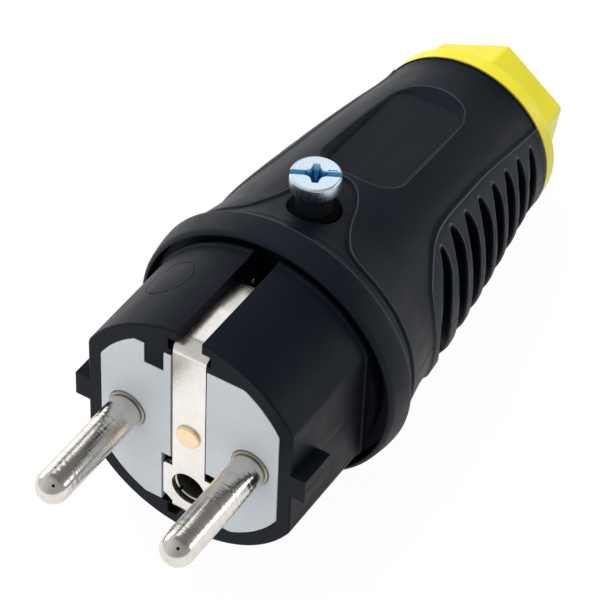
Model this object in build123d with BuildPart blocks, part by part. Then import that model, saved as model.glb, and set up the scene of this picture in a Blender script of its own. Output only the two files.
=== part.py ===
from build123d import *
import os

os.makedirs("parts", exist_ok=True)

# ---------------------------------------------------------------- dimensions, mm
# frame: X to the right pin, -Y out of the pin face, +Z to the closing screw.
# Y = 0 is the front rim of the shell, on the plug's axis.

# pins
PIN_R = 2.4
PIN_TIP_Y = -19.0
PIN_X = 9.5
PIN_RING_R = 2.8
PIN_RING_FRONT = -0.4
PIN_RING_BACK = 1.4
PIN_SHANK_R = 2.2
PLATE_BACK = 16.0
BLOCK_X0, BLOCK_X1 = 6.4, 12.0
BLOCK_Z = 3.4
BLOCK_DROP = 2.0
BLOCK_Y1 = 29.0
WIRE_R = 1.9

# front shell
SHELL_R = 18.0
FLAT_X = 15.65
SHELL_L = 18.2
LIP_L = 0.8
LIP_H = 0.25
RIB_OUT = 2.07
RIB_H = 3.8
RIB_L = 6.1
NECK_R = 17.2
FLANGE_Y0, FLANGE_Y1, FLANGE_R = 20.2, 22.4, 19.05
SPIGOT_R, SPIGOT_Y1 = 16.3, 25.5
ARM_Y1 = 34.5
SLOT_W = 3.76
UNDERCUT_W = 6.5
CHANNEL_W = 5.5
UNDERCUT_Z = 16.2
SLOT_FLOOR_TOP = 14.4
SLOT_FLOOR_BOT = 14.85
STRIP_BED_Y = 0.9
WINDOW_Y0, WINDOW_Y1, WINDOW_Z = 15.3, 20.2, 12.5

# grey contact plate
PLATE_R = 15.7
PLATE_X = 13.65
PLATE_Z0, PLATE_Z1 = -14.2, 13.3
PLATE_FRONT = -0.1
PLATE_STEP = 7.95
PLATE_GAP = 0.08
REAR_R, REAR_X, REAR_Z = 14.1, 12.1, 12.9
KEY_X0, KEY_X1, KEY_Z0 = -6.83, -3.82, 9.97
EAR_BED_X = 4.15
EAR_BED_Z1 = -5.2
SOCKET_Z = -10.0
SOCKET_R = 2.95
SOCKET_BODY_R = 3.9
SOCKET_BODY_Y = 9.0

# earth strip
STRIP_W = 5.0
STRIP_T = 0.8
STRIP_Z = 16.0
STRIP_FRONT = 0.05
EAR_X = 3.93
EAR_Z0, EAR_Z1 = -13.6, -6.9
STRIP_HOLE_R = 2.6

# closing screw
SCREW_Y = 29.5
HEAD_R, HEAD_TOP, HEAD_H = 3.45, 23.8, 1.7
HEAD_SLOT_W, HEAD_SLOT_D, HEAD_TURN = 1.2, 0.75, 28.0
PILOT_R, PILOT_BOT = 2.6, 18.0
THREAD_R, THREAD_BOT = 2.0, 6.5
WASHER_T, WASHER_R = 0.6, 3.4
BUSH_Z0, BUSH_Z1, BUSH_R = 7.2, 13.1, 3.0
SCREW_HOLE_R = 3.6

# housing
COLLAR_BORE = 19.2
SHOULDER_Y = 23.45
HOUSING_BORE, HOUSING_BORE_Y1 = 16.4, 36.0
SEAT_Y0, SEAT_Y1, SEAT_R = 50.0, 51.5, 7.0
SEAL_BORE = 11.3
THREAD_BORE, THREAD_BORE_Y0 = 11.45, 62.0
HOUSING_END = 71.0
PANEL_W, PANEL_Y0, PANEL_Y1 = 11.2, 40.5, 61.0
PANEL_Z, PANEL_SLOPE = 14.93, 0.065
GROOVES = [(38.8, 36.0), (43.0, 38.5), (47.2, 37.5), (51.4, 36.0), (55.6, 34.5), (59.8, 33.0), (64.0, 30.5),
           (68.0, 27.5)]
GROOVE_W, GROOVE_D = 2.0, 1.2

# gland
NUT_STEM_R, NUT_STEM_Y0 = 11.4, 63.75
NUT_FLANGE_R, NUT_FLANGE_Y0, NUT_FLANGE_Y1 = 13.63, 71.1, 73.4
NUT_END = 80.1
HEX_R0, HEX_R1 = 12.25, 11.75
HEX_TURN = 23.0
CABLE_R = 6.6
STEM_BORE = 9.3


def at(y):
    # sketch plane across the axis; local x = X, local y = Z, extrude(-) goes to +Y
    return Plane.XZ.offset(-y)


# ---------------------------------------------------------------- front shell
with BuildPart() as front_shell:
    with BuildSketch(at(0)) as body_sk:
        Circle(SHELL_R)
        Rectangle(2 * FLAT_X, 3 * SHELL_R, mode=Mode.INTERSECT)
    extrude(amount=-SHELL_L)
    fillet(front_shell.edges().group_by(Axis.Y)[0], 0.35)
    with BuildSketch(at(SHELL_L - LIP_L)) as lip_sk:
        Circle(SHELL_R + LIP_H)
        Rectangle(2 * (FLAT_X + LIP_H), 3 * SHELL_R, mode=Mode.INTERSECT)
    extrude(amount=-LIP_L)
    # guide ribs on the flats
    for s in (-1, 1):
        with BuildSketch(at(0.0)) as rib_sk:
            with Locations((s * (FLAT_X + RIB_OUT / 2 - 0.5), 0)):
                Rectangle(RIB_OUT + 1.0, RIB_H)
        extrude(amount=-RIB_L)
    fillet(front_shell.faces().filter_by(Axis.X).group_by(Axis.X)[0].edges(), 0.25)
    fillet(front_shell.faces().filter_by(Axis.X).group_by(Axis.X)[-1].edges(), 0.25)
    with BuildSketch(at(SHELL_L)) as neck_sk:
        Circle(NECK_R)
    extrude(amount=-(FLANGE_Y0 - SHELL_L))
    with BuildSketch(at(FLANGE_Y0)) as flange_sk:
        Circle(FLANGE_R)
    extrude(amount=-(FLANGE_Y1 - FLANGE_Y0))
    with BuildSketch(at(FLANGE_Y1)) as spigot_sk:
        Circle(SPIGOT_R)
    extrude(amount=-(SPIGOT_Y1 - FLANGE_Y1))
    # rear arms: the top one carries the threaded bush
    with BuildSketch(at(SPIGOT_Y1)) as arm_sk:
        Circle(SPIGOT_R)
        with Locations((0, 12.0)):
            Rectangle(11.0, 10.0, mode=Mode.INTERSECT)
    extrude(amount=-(ARM_Y1 - SPIGOT_Y1))
    with BuildSketch(at(SPIGOT_Y1)) as arm2_sk:
        Circle(SPIGOT_R)
        with Locations((0, -16.5)):
            Rectangle(12.0, 8.0, mode=Mode.INTERSECT)
    extrude(amount=-(ARM_Y1 - SPIGOT_Y1))
    # pocket for the grey plate, then the narrower terminal room
    with BuildSketch(at(0)) as pocket_sk:
        Circle(PLATE_R + PLATE_GAP)
        with Locations((0, (PLATE_Z0 + PLATE_Z1) / 2)):
            Rectangle(2 * (PLATE_X + PLATE_GAP), PLATE_Z1 - PLATE_Z0 + 2 * PLATE_GAP,
                      mode=Mode.INTERSECT)
        with Locations(((KEY_X0 + KEY_X1) / 2, KEY_Z0 + 3.0)):
            Rectangle(KEY_X1 - KEY_X0 - 2 * PLATE_GAP, 6.0 - 2 * PLATE_GAP, mode=Mode.SUBTRACT)
    extrude(amount=-(PLATE_STEP + 0.05), mode=Mode.SUBTRACT)
    with BuildSketch(at(PLATE_STEP)) as room_sk:
        Circle(REAR_R + 0.1)
        Rectangle(2 * (REAR_X + 0.1), 2 * (REAR_Z + 0.1), mode=Mode.INTERSECT)
    extrude(amount=-(SPIGOT_Y1 - PLATE_STEP), mode=Mode.SUBTRACT)
    # earth slots, top and bottom: narrow mouth, wider undercut
    for s, floor, bed in ((1, SLOT_FLOOR_TOP, 1.0), (-1, SLOT_FLOOR_BOT, 2.0)):
        with BuildSketch(at(-1.0)) as mouth_sk:
            with Locations((0, s * (floor + 3.0))):
                Rectangle(SLOT_W, 6.0)
        extrude(amount=-(SHELL_L + 1.0), mode=Mode.SUBTRACT)
        with BuildSketch(at(-1.0)) as under_sk:
            with Locations((0, s * (floor + UNDERCUT_Z) / 2)):
                Rectangle(UNDERCUT_W, UNDERCUT_Z - floor)
        extrude(amount=-17.5, mode=Mode.SUBTRACT)
        with BuildSketch(at(-1.0)) as bed_sk:
            with Locations((0, s * 14.0)):
                Rectangle(CHANNEL_W, 2.2)
        extrude(amount=-(1.0 + bed), mode=Mode.SUBTRACT)
    # the top slot opens into the terminal room behind the strip's end
    with BuildSketch(at(WINDOW_Y0)) as win_sk:
        with Locations((0, (WINDOW_Z + 18.5) / 2)):
            Rectangle(SLOT_W, 18.5 - WINDOW_Z)
    extrude(amount=-(WINDOW_Y1 - WINDOW_Y0), mode=Mode.SUBTRACT)
    # closing screw: counterbore and bush seat
    with BuildSketch(Plane.XY.offset(BUSH_Z1)) as cb_sk:
        with Locations((0, SCREW_Y)):
            Circle(SCREW_HOLE_R)
    extrude(amount=6.0, mode=Mode.SUBTRACT)
    with BuildSketch(Plane.XY.offset(5.0)) as bs_sk:
        with Locations((0, SCREW_Y)):
            Circle(BUSH_R)
    extrude(amount=10.0, mode=Mode.SUBTRACT)
front_shell.part.label = "front_shell"

# ---------------------------------------------------------------- grey contact plate
with BuildPart() as contact_plate:
    with BuildSketch(at(PLATE_FRONT)) as plate_sk:
        Circle(PLATE_R)
        with Locations((0, (PLATE_Z0 + PLATE_Z1) / 2)):
            Rectangle(2 * PLATE_X, PLATE_Z1 - PLATE_Z0, mode=Mode.INTERSECT)
    extrude(amount=-(PLATE_STEP - PLATE_FRONT))
    fillet(contact_plate.edges().group_by(Axis.Y)[0], 0.3)
    with BuildSketch(at(PLATE_STEP)) as rear_sk:
        Circle(REAR_R)
        Rectangle(2 * REAR_X, 2 * REAR_Z, mode=Mode.INTERSECT)
    extrude(amount=-(PLATE_BACK - PLATE_STEP))
    # key notch, strip channel, ear bed
    with BuildSketch(at(-1.0)) as notch_sk:
        with Locations(((KEY_X0 + KEY_X1) / 2, KEY_Z0 + 4.0)):
            Rectangle(KEY_X1 - KEY_X0, 8.0)
    extrude(amount=-(PLATE_STEP + 1.1), mode=Mode.SUBTRACT)
    with BuildSketch(at(-1.0)) as chan_sk:
        with Locations((0, (EAR_BED_Z1 + 15.0) / 2)):
            Rectangle(CHANNEL_W, 15.0 - EAR_BED_Z1 + 0.2)
    extrude(amount=-(1.0 + STRIP_BED_Y), mode=Mode.SUBTRACT)
    with BuildSketch(at(-1.0)) as ear_sk:
        with Locations((0, (EAR_BED_Z1 - 15.0) / 2)):
            Rectangle(2 * EAR_BED_X, 15.0 + EAR_BED_Z1)
    extrude(amount=-(1.0 + STRIP_BED_Y), mode=Mode.SUBTRACT)
    with BuildSketch(at(-1.0)) as deep_sk:
        with Locations((0, (EAR_BED_Z1 - 13.6) / 2)):
            Rectangle(2 * EAR_BED_X, 13.6 + EAR_BED_Z1)
    extrude(amount=-8.0, mode=Mode.SUBTRACT)
    with BuildSketch(at(0)) as holes_sk:
        with Locations((0, SOCKET_Z)):
            Circle(SOCKET_R + 0.05)
        with Locations((-PIN_X, 0), (PIN_X, 0)):
            Circle(PIN_SHANK_R + 0.05)
        with Locations((0, 0)):
            Circle(1.3)
    extrude(amount=-17.0, mode=Mode.SUBTRACT)
    with BuildSketch(at(SOCKET_BODY_Y - 0.05)) as sb_sk:
        with Locations((0, SOCKET_Z)):
            Circle(SOCKET_BODY_R + 0.05)
    extrude(amount=-8.0, mode=Mode.SUBTRACT)
    with BuildSketch(at(-1.0)) as ring_sk:
        with Locations((-PIN_X, 0), (PIN_X, 0)):
            Circle(PIN_RING_R + 0.06)
    extrude(amount=-(1.0 + PIN_RING_BACK + 0.05), mode=Mode.SUBTRACT)
contact_plate.part.label = "contact_plate"


# ---------------------------------------------------------------- pins with clamp blocks
def pin_solid(side):
    with BuildPart() as pin:
        with BuildSketch(Plane.XY) as prof:
            with BuildLine() as ln:
                l1 = ThreePointArc((0, PIN_TIP_Y), (0.70711 * PIN_R, PIN_TIP_Y + 0.29289 * PIN_R),
                                   (PIN_R, PIN_TIP_Y + PIN_R))
                l2 = Polyline((PIN_R, PIN_TIP_Y + PIN_R), (PIN_R, PIN_RING_FRONT),
                              (PIN_RING_R - 0.15, PIN_RING_FRONT), (PIN_RING_R, PIN_RING_FRONT + 0.15),
                              (PIN_RING_R, PIN_RING_BACK), (PIN_SHANK_R, PIN_RING_BACK),
                              (PIN_SHANK_R, PLATE_BACK + 0.5), (0, PLATE_BACK + 0.5), (0, PIN_TIP_Y))
            make_face()
        revolve(axis=Axis.Y)
        # clamp block, reaching further inward and downward than the shank
        with BuildSketch(at(PLATE_BACK + 0.05)) as blk:
            with Locations((side * ((BLOCK_X0 + BLOCK_X1) / 2 - PIN_X), -BLOCK_DROP)):
                Rectangle(BLOCK_X1 - BLOCK_X0, 2 * BLOCK_Z)
        extrude(amount=-(BLOCK_Y1 - PLATE_BACK - 0.05))
        chamfer(pin.edges().group_by(Axis.Y)[-1], 0.4)
        with BuildSketch(at(19.0)) as wire:
            with Locations((side * ((BLOCK_X0 + BLOCK_X1) / 2 - PIN_X), -0.6 - BLOCK_DROP)):
                Circle(WIRE_R)
        extrude(amount=-12.0, mode=Mode.SUBTRACT)
        with BuildSketch(Plane.XY.offset(-BLOCK_DROP)) as tap:
            with Locations((side * ((BLOCK_X0 + BLOCK_X1) / 2 - PIN_X), 25.5)):
                Circle(1.5)
        extrude(amount=5.0, mode=Mode.SUBTRACT)
    return pin.part


pin_left = Pos(-PIN_X, 0, 0) * pin_solid(-1)
pin_left.label = "pin_left"
pin_right = Pos(PIN_X, 0, 0) * pin_solid(1)
pin_right.label = "pin_right"

BLOCK_C = (BLOCK_X0 + BLOCK_X1) / 2


def clamp_screw(x, y, z_seat, length):
    with BuildPart() as scr:
        with BuildSketch(Plane.XY.offset(z_seat + 0.02)) as hd:
            with Locations((x, y)):
                Circle(2.3)
        extrude(amount=1.8)
        chamfer(scr.edges().group_by(Axis.Z)[-1], 0.25)
        with BuildSketch(Plane.XY.offset(z_seat + 0.02)) as sh:
            with Locations((x, y)):
                Circle(1.46)
        extrude(amount=-length)
        with BuildSketch(Plane.XY.offset(z_seat + 0.9)) as sl:
            with Locations((x, y)):
                Rectangle(5.0, 0.7)
        extrude(amount=2.0, mode=Mode.SUBTRACT)
    return scr.part


terminal_screw_left = clamp_screw(-BLOCK_C, 25.5, BLOCK_Z - BLOCK_DROP, 2.6)
terminal_screw_left.label = "terminal_screw_left"
terminal_screw_right = clamp_screw(BLOCK_C, 25.5, BLOCK_Z - BLOCK_DROP, 2.6)
terminal_screw_right.label = "terminal_screw_right"

# ---------------------------------------------------------------- earth strip
SO = STRIP_Z
SI = STRIP_Z - STRIP_T
YF = STRIP_FRONT
YB = STRIP_FRONT + STRIP_T
with BuildPart() as earth_strip:
    with BuildSketch(Plane.YZ.offset(-STRIP_W / 2)) as strip_sk:
        with BuildLine() as sl:
            Polyline((14.5, 15.3), (8.5, SO), (2.0, SO), (YF, 14.7), (YF, -14.7), (2.0, -SO),
                     (9.5, -SO), (14.5, -15.75), (14.5, -14.95), (9.5, -SI), (2.25, -SI),
                     (YB, -14.35), (YB, 14.35), (2.25, SI), (8.5, SI), (14.5, 14.5), (14.5, 15.3))
        make_face()
    extrude(amount=STRIP_W)
    bends = earth_strip.edges().filter_by(Axis.X)
    fillet(bends.filter_by(lambda e: abs(e.center().Y - YF) < 0.01), 0.9)
    bends = earth_strip.edges().filter_by(Axis.X)
    fillet(bends.filter_by(lambda e: abs(e.center().Y - 2.0) < 0.01), 0.9)
    with BuildSketch(at(STRIP_FRONT)) as ears_sk:
        with Locations((0, (EAR_Z0 + EAR_Z1) / 2)):
            Rectangle(2 * EAR_X, EAR_Z1 - EAR_Z0)
    extrude(amount=-STRIP_T)
    corners = earth_strip.edges().filter_by(Axis.Y)
    fillet(corners.filter_by(lambda e: abs(abs(e.center().X) - EAR_X) < 0.01), 0.5)
    with BuildSketch(at(-1.0)) as sh_sk:
        with Locations((0, SOCKET_Z)):
            Circle(STRIP_HOLE_R)
        with Locations((0, 0)):
            Circle(1.3)
    extrude(amount=-2.2, mode=Mode.SUBTRACT)
earth_strip.part.label = "earth_strip"

with BuildPart() as earth_rivet:
    with BuildSketch(Plane.XY) as rv:
        with BuildLine() as rl:
            Polyline((0, -0.42), (1.75, -0.42), (1.95, -0.22), (1.95, YF - 0.01), (1.25, YF - 0.01),
                     (1.25, 17.27), (1.9, 17.27), (1.9, 17.6), (1.5, 18.0), (0, 18.0), (0, -0.42))
        make_face()
    revolve(axis=Axis.Y)
earth_rivet.part.label = "earth_rivet"

# female earth contact: slit tube that a 4.8 mm earth pin enters
with BuildPart() as earth_socket:
    with BuildSketch(at(0.95)) as tube_sk:
        with Locations((0, SOCKET_Z)):
            Circle(SOCKET_R)
    extrude(amount=-15.05)
    with BuildSketch(at(SOCKET_BODY_Y)) as sbody_sk:
        with Locations((0, SOCKET_Z)):
            Circle(SOCKET_BODY_R)
            with Locations((0, SOCKET_BODY_R - 2.85)):
                Rectangle(2 * SOCKET_BODY_R, 2 * SOCKET_BODY_R, mode=Mode.INTERSECT)
    extrude(amount=-(PLATE_BACK - SOCKET_BODY_Y))
    with BuildSketch(at(0.0)) as bore_sk:
        with Locations((0, SOCKET_Z)):
            Circle(2.5)
    extrude(amount=-15.0, mode=Mode.SUBTRACT)
    for rot in (45, 135):
        with BuildSketch(at(-2.0)) as slit_sk:
            with Locations(Location((0, SOCKET_Z), rot)):
                Rectangle(8.0, 0.5)
        extrude(amount=-6.0, mode=Mode.SUBTRACT)
    chamfer(earth_socket.edges().filter_by(GeomType.CIRCLE).group_by(Axis.Y)[0], 0.15)
earth_socket.part.label = "earth_socket"

with BuildPart() as socket_spring:
    with BuildSketch(at(2.2)) as spr_sk:
        with Locations((0, SOCKET_Z)):
            Circle(3.45)
            Circle(SOCKET_R + 0.03, mode=Mode.SUBTRACT)
        with Locations((0, SOCKET_Z - 3.4)):
            Rectangle(1.6, 2.0, mode=Mode.SUBTRACT)
    extrude(amount=-3.2)
socket_spring.part.label = "socket_spring"

with BuildPart() as earth_terminal:
    with BuildSketch(at(PLATE_BACK + 0.05)) as br_sk:
        with Locations((0, -5.2)):
            Rectangle(7.0, 15.6)
    extrude(amount=-1.2)
    with BuildSketch(at(PLATE_BACK + 1.25)) as tb_sk:
        with Locations((0, -7.9)):
            Rectangle(8.8, 8.6)
    extrude(amount=-11.0)
    chamfer(earth_terminal.edges().group_by(Axis.Y)[-1], 0.3)
    with BuildSketch(at(18.8)) as tw_sk:
        with Locations((0, -8.6)):
            Circle(WIRE_R)
    extrude(amount=-12.0, mode=Mode.SUBTRACT)
    with BuildSketch(Plane.XY.offset(-8.6)) as tt_sk:
        with Locations((0, 23.0)):
            Circle(1.5)
    extrude(amount=5.0, mode=Mode.SUBTRACT)
    with BuildSketch(at(14.0)) as th_sk:
        with Locations((0, 0)):
            Circle(1.27)
    extrude(amount=-5.0, mode=Mode.SUBTRACT)
earth_terminal.part.label = "earth_terminal"

earth_screw = clamp_screw(0, 23.0, -3.6, 3.0)
earth_screw.label = "earth_screw"

# ---------------------------------------------------------------- grip housing
with BuildPart() as grip_housing:
    with BuildSketch(Plane.XY) as hs:
        with BuildLine() as hl:
            Polyline((COLLAR_BORE, 18.0), (19.45, 18.0), (19.85, 18.5))
            Spline((19.85, 18.5), (20.2, 20.4), (20.32, 22.1), tangents=((0.5, 1), (0, 1)))
            Polyline((20.32, 22.1), (20.05, 22.5), (19.1, 25.4))
            Spline((19.1, 25.4), (18.35, 30.0), (18.08, 34.0), (17.6, 39.5), (17.0, 45.0), (16.15, 52.0),
                   (15.0, 60.0), (14.2, 65.0), (13.75, 68.5), (13.75, 70.6), tangents=((-0.35, 1), (0, 1)))
            Polyline((13.75, 70.6), (13.35, HOUSING_END), (THREAD_BORE, HOUSING_END),
                     (THREAD_BORE, THREAD_BORE_Y0), (SEAL_BORE, THREAD_BORE_Y0), (SEAL_BORE, SEAT_Y1),
                     (SEAT_R, SEAT_Y1), (SEAT_R, SEAT_Y0), (12.6, SEAT_Y0), (14.6, HOUSING_BORE_Y1),
                     (HOUSING_BORE, HOUSING_BORE_Y1), (HOUSING_BORE, SHOULDER_Y),
                     (COLLAR_BORE, SHOULDER_Y), (COLLAR_BORE, 18.0))
        make_face()
    revolve(axis=Axis.Y)
    # screw hole in the top wall
    with BuildSketch(Plane.XY.offset(13.0)) as sc_sk:
        with Locations((0, SCREW_Y)):
            Circle(SCREW_HOLE_R)
    extrude(amount=10.0, mode=Mode.SUBTRACT)
    # sunk panel behind the screw: sloped walls, floor falls a little to the rear
    panel_plane = Plane(origin=(0, PANEL_Y0, PANEL_Z), x_dir=(1, 0, 0),
                        z_dir=(0, PANEL_SLOPE, 1))
    with BuildSketch(panel_plane) as pn_sk:
        with Locations((0, (PANEL_Y1 - PANEL_Y0) / 2)):
            RectangleRounded(PANEL_W, PANEL_Y1 - PANEL_Y0, 2.4)
    extrude(amount=4.5, taper=-42, mode=Mode.SUBTRACT)
    # finger grooves round both sides
    for gy, half in GROOVES:
        r_top = 18.6 - (gy - 28.0) * 0.1190
        for base in (0.0, 180.0):
            start = base - half
            with BuildSketch(Plane.XY.rotated((0, -start, 0))) as gs:
                with BuildLine() as gl:
                    Polyline((r_top + 1.0, gy - GROOVE_W / 2 - 0.4), (r_top + 1.0, gy + GROOVE_W / 2 + 0.4),
                             (r_top - GROOVE_D, gy + GROOVE_W / 2 - 0.45), (r_top - GROOVE_D, gy - GROOVE_W / 2 + 0.45),
                             (r_top + 1.0, gy - GROOVE_W / 2 - 0.4))
                make_face()
            revolve(axis=Axis.Y, revolution_arc=-2 * half, mode=Mode.SUBTRACT)
grip_housing.part.label = "grip_housing"

with BuildPart() as collar_seal:
    with BuildSketch(at(FLANGE_Y1 + 0.02)) as cs_sk:
        Circle(19.0)
        Circle(16.5, mode=Mode.SUBTRACT)
    extrude(amount=-(SHOULDER_Y - FLANGE_Y1 - 0.04))
collar_seal.part.label = "collar_seal"

# ---------------------------------------------------------------- closing screw group
with BuildPart() as closing_screw:
    with BuildSketch(Plane.XY.offset(HEAD_TOP - HEAD_H)) as h_sk:
        with Locations((0, SCREW_Y)):
            Circle(HEAD_R)
    extrude(amount=HEAD_H)
    fillet(closing_screw.edges().group_by(Axis.Z)[-1], 0.45)
    with BuildSketch(Plane.XY.offset(HEAD_TOP - HEAD_H)) as p_sk:
        with Locations((0, SCREW_Y)):
            Circle(PILOT_R)
    extrude(amount=-(HEAD_TOP - HEAD_H - PILOT_BOT))
    with BuildSketch(Plane.XY.offset(PILOT_BOT)) as t_sk:
        with Locations((0, SCREW_Y)):
            Circle(THREAD_R)
    extrude(amount=-(PILOT_BOT - THREAD_BOT))
    chamfer(closing_screw.edges().group_by(Axis.Z)[0], 0.4)
    with BuildSketch(Plane.XY.offset(HEAD_TOP - HEAD_SLOT_D)) as s_sk:
        with Locations((0, SCREW_Y)):
            Rectangle(8.0, HEAD_SLOT_W, rotation=HEAD_TURN)
    extrude(amount=2.0, mode=Mode.SUBTRACT)
    with BuildSketch(Plane.XY.offset(HEAD_TOP)) as x_sk:
        with Locations((0, SCREW_Y)):
            Rectangle(0.9, 3.7, rotation=HEAD_TURN)
            Rectangle(2.0, 2.0, rotation=45 + HEAD_TURN)
    with BuildSketch(Plane.XY.offset(HEAD_TOP - 1.9)) as x2_sk:
        with Locations((0, SCREW_Y)):
            Rectangle(0.7, 1.9, rotation=HEAD_TURN)
            Rectangle(1.1, 1.1, rotation=45 + HEAD_TURN)
    loft(sections=[x_sk.sketch, x2_sk.sketch], mode=Mode.SUBTRACT)
closing_screw.part.label = "closing_screw"

with BuildPart() as screw_washer:
    with BuildSketch(Plane.XY.offset(PILOT_BOT - 0.02)) as w_sk:
        with Locations((0, SCREW_Y)):
            Circle(WASHER_R)
            Circle(THREAD_R + 0.06, mode=Mode.SUBTRACT)
    extrude(amount=-WASHER_T)
screw_washer.part.label = "screw_washer"

with BuildPart() as threaded_bush:
    with BuildSketch(Plane.XY.offset(BUSH_Z0)) as b_sk:
        with Locations((0, SCREW_Y)):
            Circle(BUSH_R - 0.02)
            Circle(THREAD_R + 0.05, mode=Mode.SUBTRACT)
    extrude(amount=BUSH_Z1 - BUSH_Z0 - 0.05)
threaded_bush.part.label = "threaded_bush"

# ---------------------------------------------------------------- cable gland
with BuildPart() as gland_seal:
    with BuildSketch(Plane.XY) as gs_sk:
        with BuildLine() as gsl:
            Polyline((5.2, 53.0), (6.4, SEAT_Y1 + 0.05), (11.0, SEAT_Y1 + 0.05), (11.2, 52.0), (11.2, 60.7),
                     (11.0, 61.2), (6.4, 61.2), (5.2, 59.8), (5.2, 53.0))
        make_face()
    revolve(axis=Axis.Y)
gland_seal.part.label = "gland_seal"

with BuildPart() as clamp_cage:
    with BuildSketch(Plane.XY) as cc_sk:
        with BuildLine() as ccl:
            Polyline((6.8, 61.25), (11.2, 61.25), (11.2, 62.75), (9.0, 62.75), (9.0, 72.5), (8.6, 74.5),
                     (7.4, 74.5), (6.8, 73.6), (6.8, 61.25))
        make_face()
    revolve(axis=Axis.Y)
    for k in range(4):
        with BuildSketch(at(64.5)) as cf_sk:
            Rectangle(20.0, 1.3, rotation=22.5 + 45 * k)
        extrude(amount=-12.0, mode=Mode.SUBTRACT)
clamp_cage.part.label = "clamp_cage"

with BuildPart() as thrust_ring:
    with BuildSketch(at(62.8)) as tr_sk:
        Circle(11.3)
        Circle(STEM_BORE, mode=Mode.SUBTRACT)
    extrude(amount=-0.9)
thrust_ring.part.label = "thrust_ring"

with BuildPart() as gland_nut:
    with BuildSketch(at(NUT_STEM_Y0)) as st_sk:
        Circle(NUT_STEM_R)
    extrude(amount=-(NUT_FLANGE_Y0 - NUT_STEM_Y0))
    with BuildSketch(at(NUT_FLANGE_Y0)) as fl_sk:
        Circle(NUT_FLANGE_R)
    extrude(amount=-(NUT_FLANGE_Y1 - NUT_FLANGE_Y0))
    fillet(gland_nut.edges().filter_by(GeomType.CIRCLE).group_by(Axis.Y)[-1], 0.4)
    with BuildSketch(at(NUT_FLANGE_Y1 - 0.3)) as hx_sk:
        RegularPolygon(HEX_R0, 6, rotation=HEX_TURN)
        fillet(hx_sk.vertices(), 0.9)
    with BuildSketch(at(NUT_END)) as hx2_sk:
        RegularPolygon(HEX_R1, 6, rotation=HEX_TURN)
        fillet(hx2_sk.vertices(), 0.8)
    loft()
    fillet(gland_nut.faces().sort_by(Axis.Y)[-1].edges(), 0.35)
    with BuildSketch(Plane.XY) as nb_sk:
        with BuildLine() as nbl:
            Polyline((0, 60.0), (STEM_BORE, 60.0), (STEM_BORE, 74.8), (CABLE_R, 77.2), (CABLE_R, 81.0),
                     (0, 81.0), (0, 60.0))
        make_face()
    revolve(axis=Axis.Y, mode=Mode.SUBTRACT)
gland_nut.part.label = "gland_nut"

# ---------------------------------------------------------------- export
export_step(front_shell.part, "parts/front_shell.step")
export_step(contact_plate.part, "parts/contact_plate.step")
export_step(pin_left, "parts/pin_left.step")
export_step(pin_right, "parts/pin_right.step")
export_step(terminal_screw_left, "parts/terminal_screw_left.step")
export_step(terminal_screw_right, "parts/terminal_screw_right.step")
export_step(earth_strip.part, "parts/earth_strip.step")
export_step(earth_rivet.part, "parts/earth_rivet.step")
export_step(earth_socket.part, "parts/earth_socket.step")
export_step(socket_spring.part, "parts/socket_spring.step")
export_step(earth_terminal.part, "parts/earth_terminal.step")
export_step(earth_screw, "parts/earth_screw.step")
export_step(grip_housing.part, "parts/grip_housing.step")
export_step(collar_seal.part, "parts/collar_seal.step")
export_step(closing_screw.part, "parts/closing_screw.step")
export_step(screw_washer.part, "parts/screw_washer.step")
export_step(threaded_bush.part, "parts/threaded_bush.step")
export_step(gland_seal.part, "parts/gland_seal.step")
export_step(clamp_cage.part, "parts/clamp_cage.step")
export_step(thrust_ring.part, "parts/thrust_ring.step")
export_step(gland_nut.part, "parts/gland_nut.step")
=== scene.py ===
import math

import bmesh
import bpy
import numpy as np
from mathutils import Matrix, Vector


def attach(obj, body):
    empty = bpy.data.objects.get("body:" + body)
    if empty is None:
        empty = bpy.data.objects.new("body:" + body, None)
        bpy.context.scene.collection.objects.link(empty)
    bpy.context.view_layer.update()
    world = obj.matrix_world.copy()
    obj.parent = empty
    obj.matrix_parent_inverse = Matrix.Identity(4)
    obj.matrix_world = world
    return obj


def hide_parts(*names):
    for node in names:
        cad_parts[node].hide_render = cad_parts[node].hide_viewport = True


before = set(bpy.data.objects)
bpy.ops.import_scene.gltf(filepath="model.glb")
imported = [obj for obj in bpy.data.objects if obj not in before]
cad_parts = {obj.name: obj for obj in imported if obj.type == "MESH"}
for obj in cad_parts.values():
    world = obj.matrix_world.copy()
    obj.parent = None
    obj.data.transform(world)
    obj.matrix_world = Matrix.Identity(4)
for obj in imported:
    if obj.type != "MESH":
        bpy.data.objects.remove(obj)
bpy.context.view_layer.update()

# Everything is modelled in millimetres and scaled to metres as it becomes a piece.
MM = 0.001
TAU = 2 * math.pi


# ------------------------------------------------------------------ camera
def add_camera():
    c = Vector((148.69, -226.43, 286.93)) * MM
    r, u, b = Vector((0.8462, 0.5320, 0.0312)), Vector((-0.3891, 0.5767, 0.7183)), Vector((0.3641, -0.6200, 0.6950))
    data = bpy.data.cameras.new("camera")
    data.sensor_width = 36.0
    data.lens = 183.29
    data.clip_start = 0.01
    data.clip_end = 20.0
    cam = bpy.data.objects.new("camera", data)
    m = Matrix.Identity(4)
    for k, v in enumerate((r, u, b, c)):
        for row in range(3):
            m[row][k] = v[row]
    cam.matrix_world = m
    bpy.context.scene.collection.objects.link(cam)
    bpy.context.scene.camera = cam


add_camera()


# ------------------------------------------------------------------ small maths
def sstep(a, b, x):
    t = np.clip((np.asarray(x, float) - a) / (b - a), 0, 1)
    return t * t * (3 - 2 * t)


def soft_pos(t, r):
    """max(0, t) with its corner rounded over -r..r."""
    return np.where(t < -r, 0.0, np.where(t > r, t, (t + r) ** 2 / (4 * r)))


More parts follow.
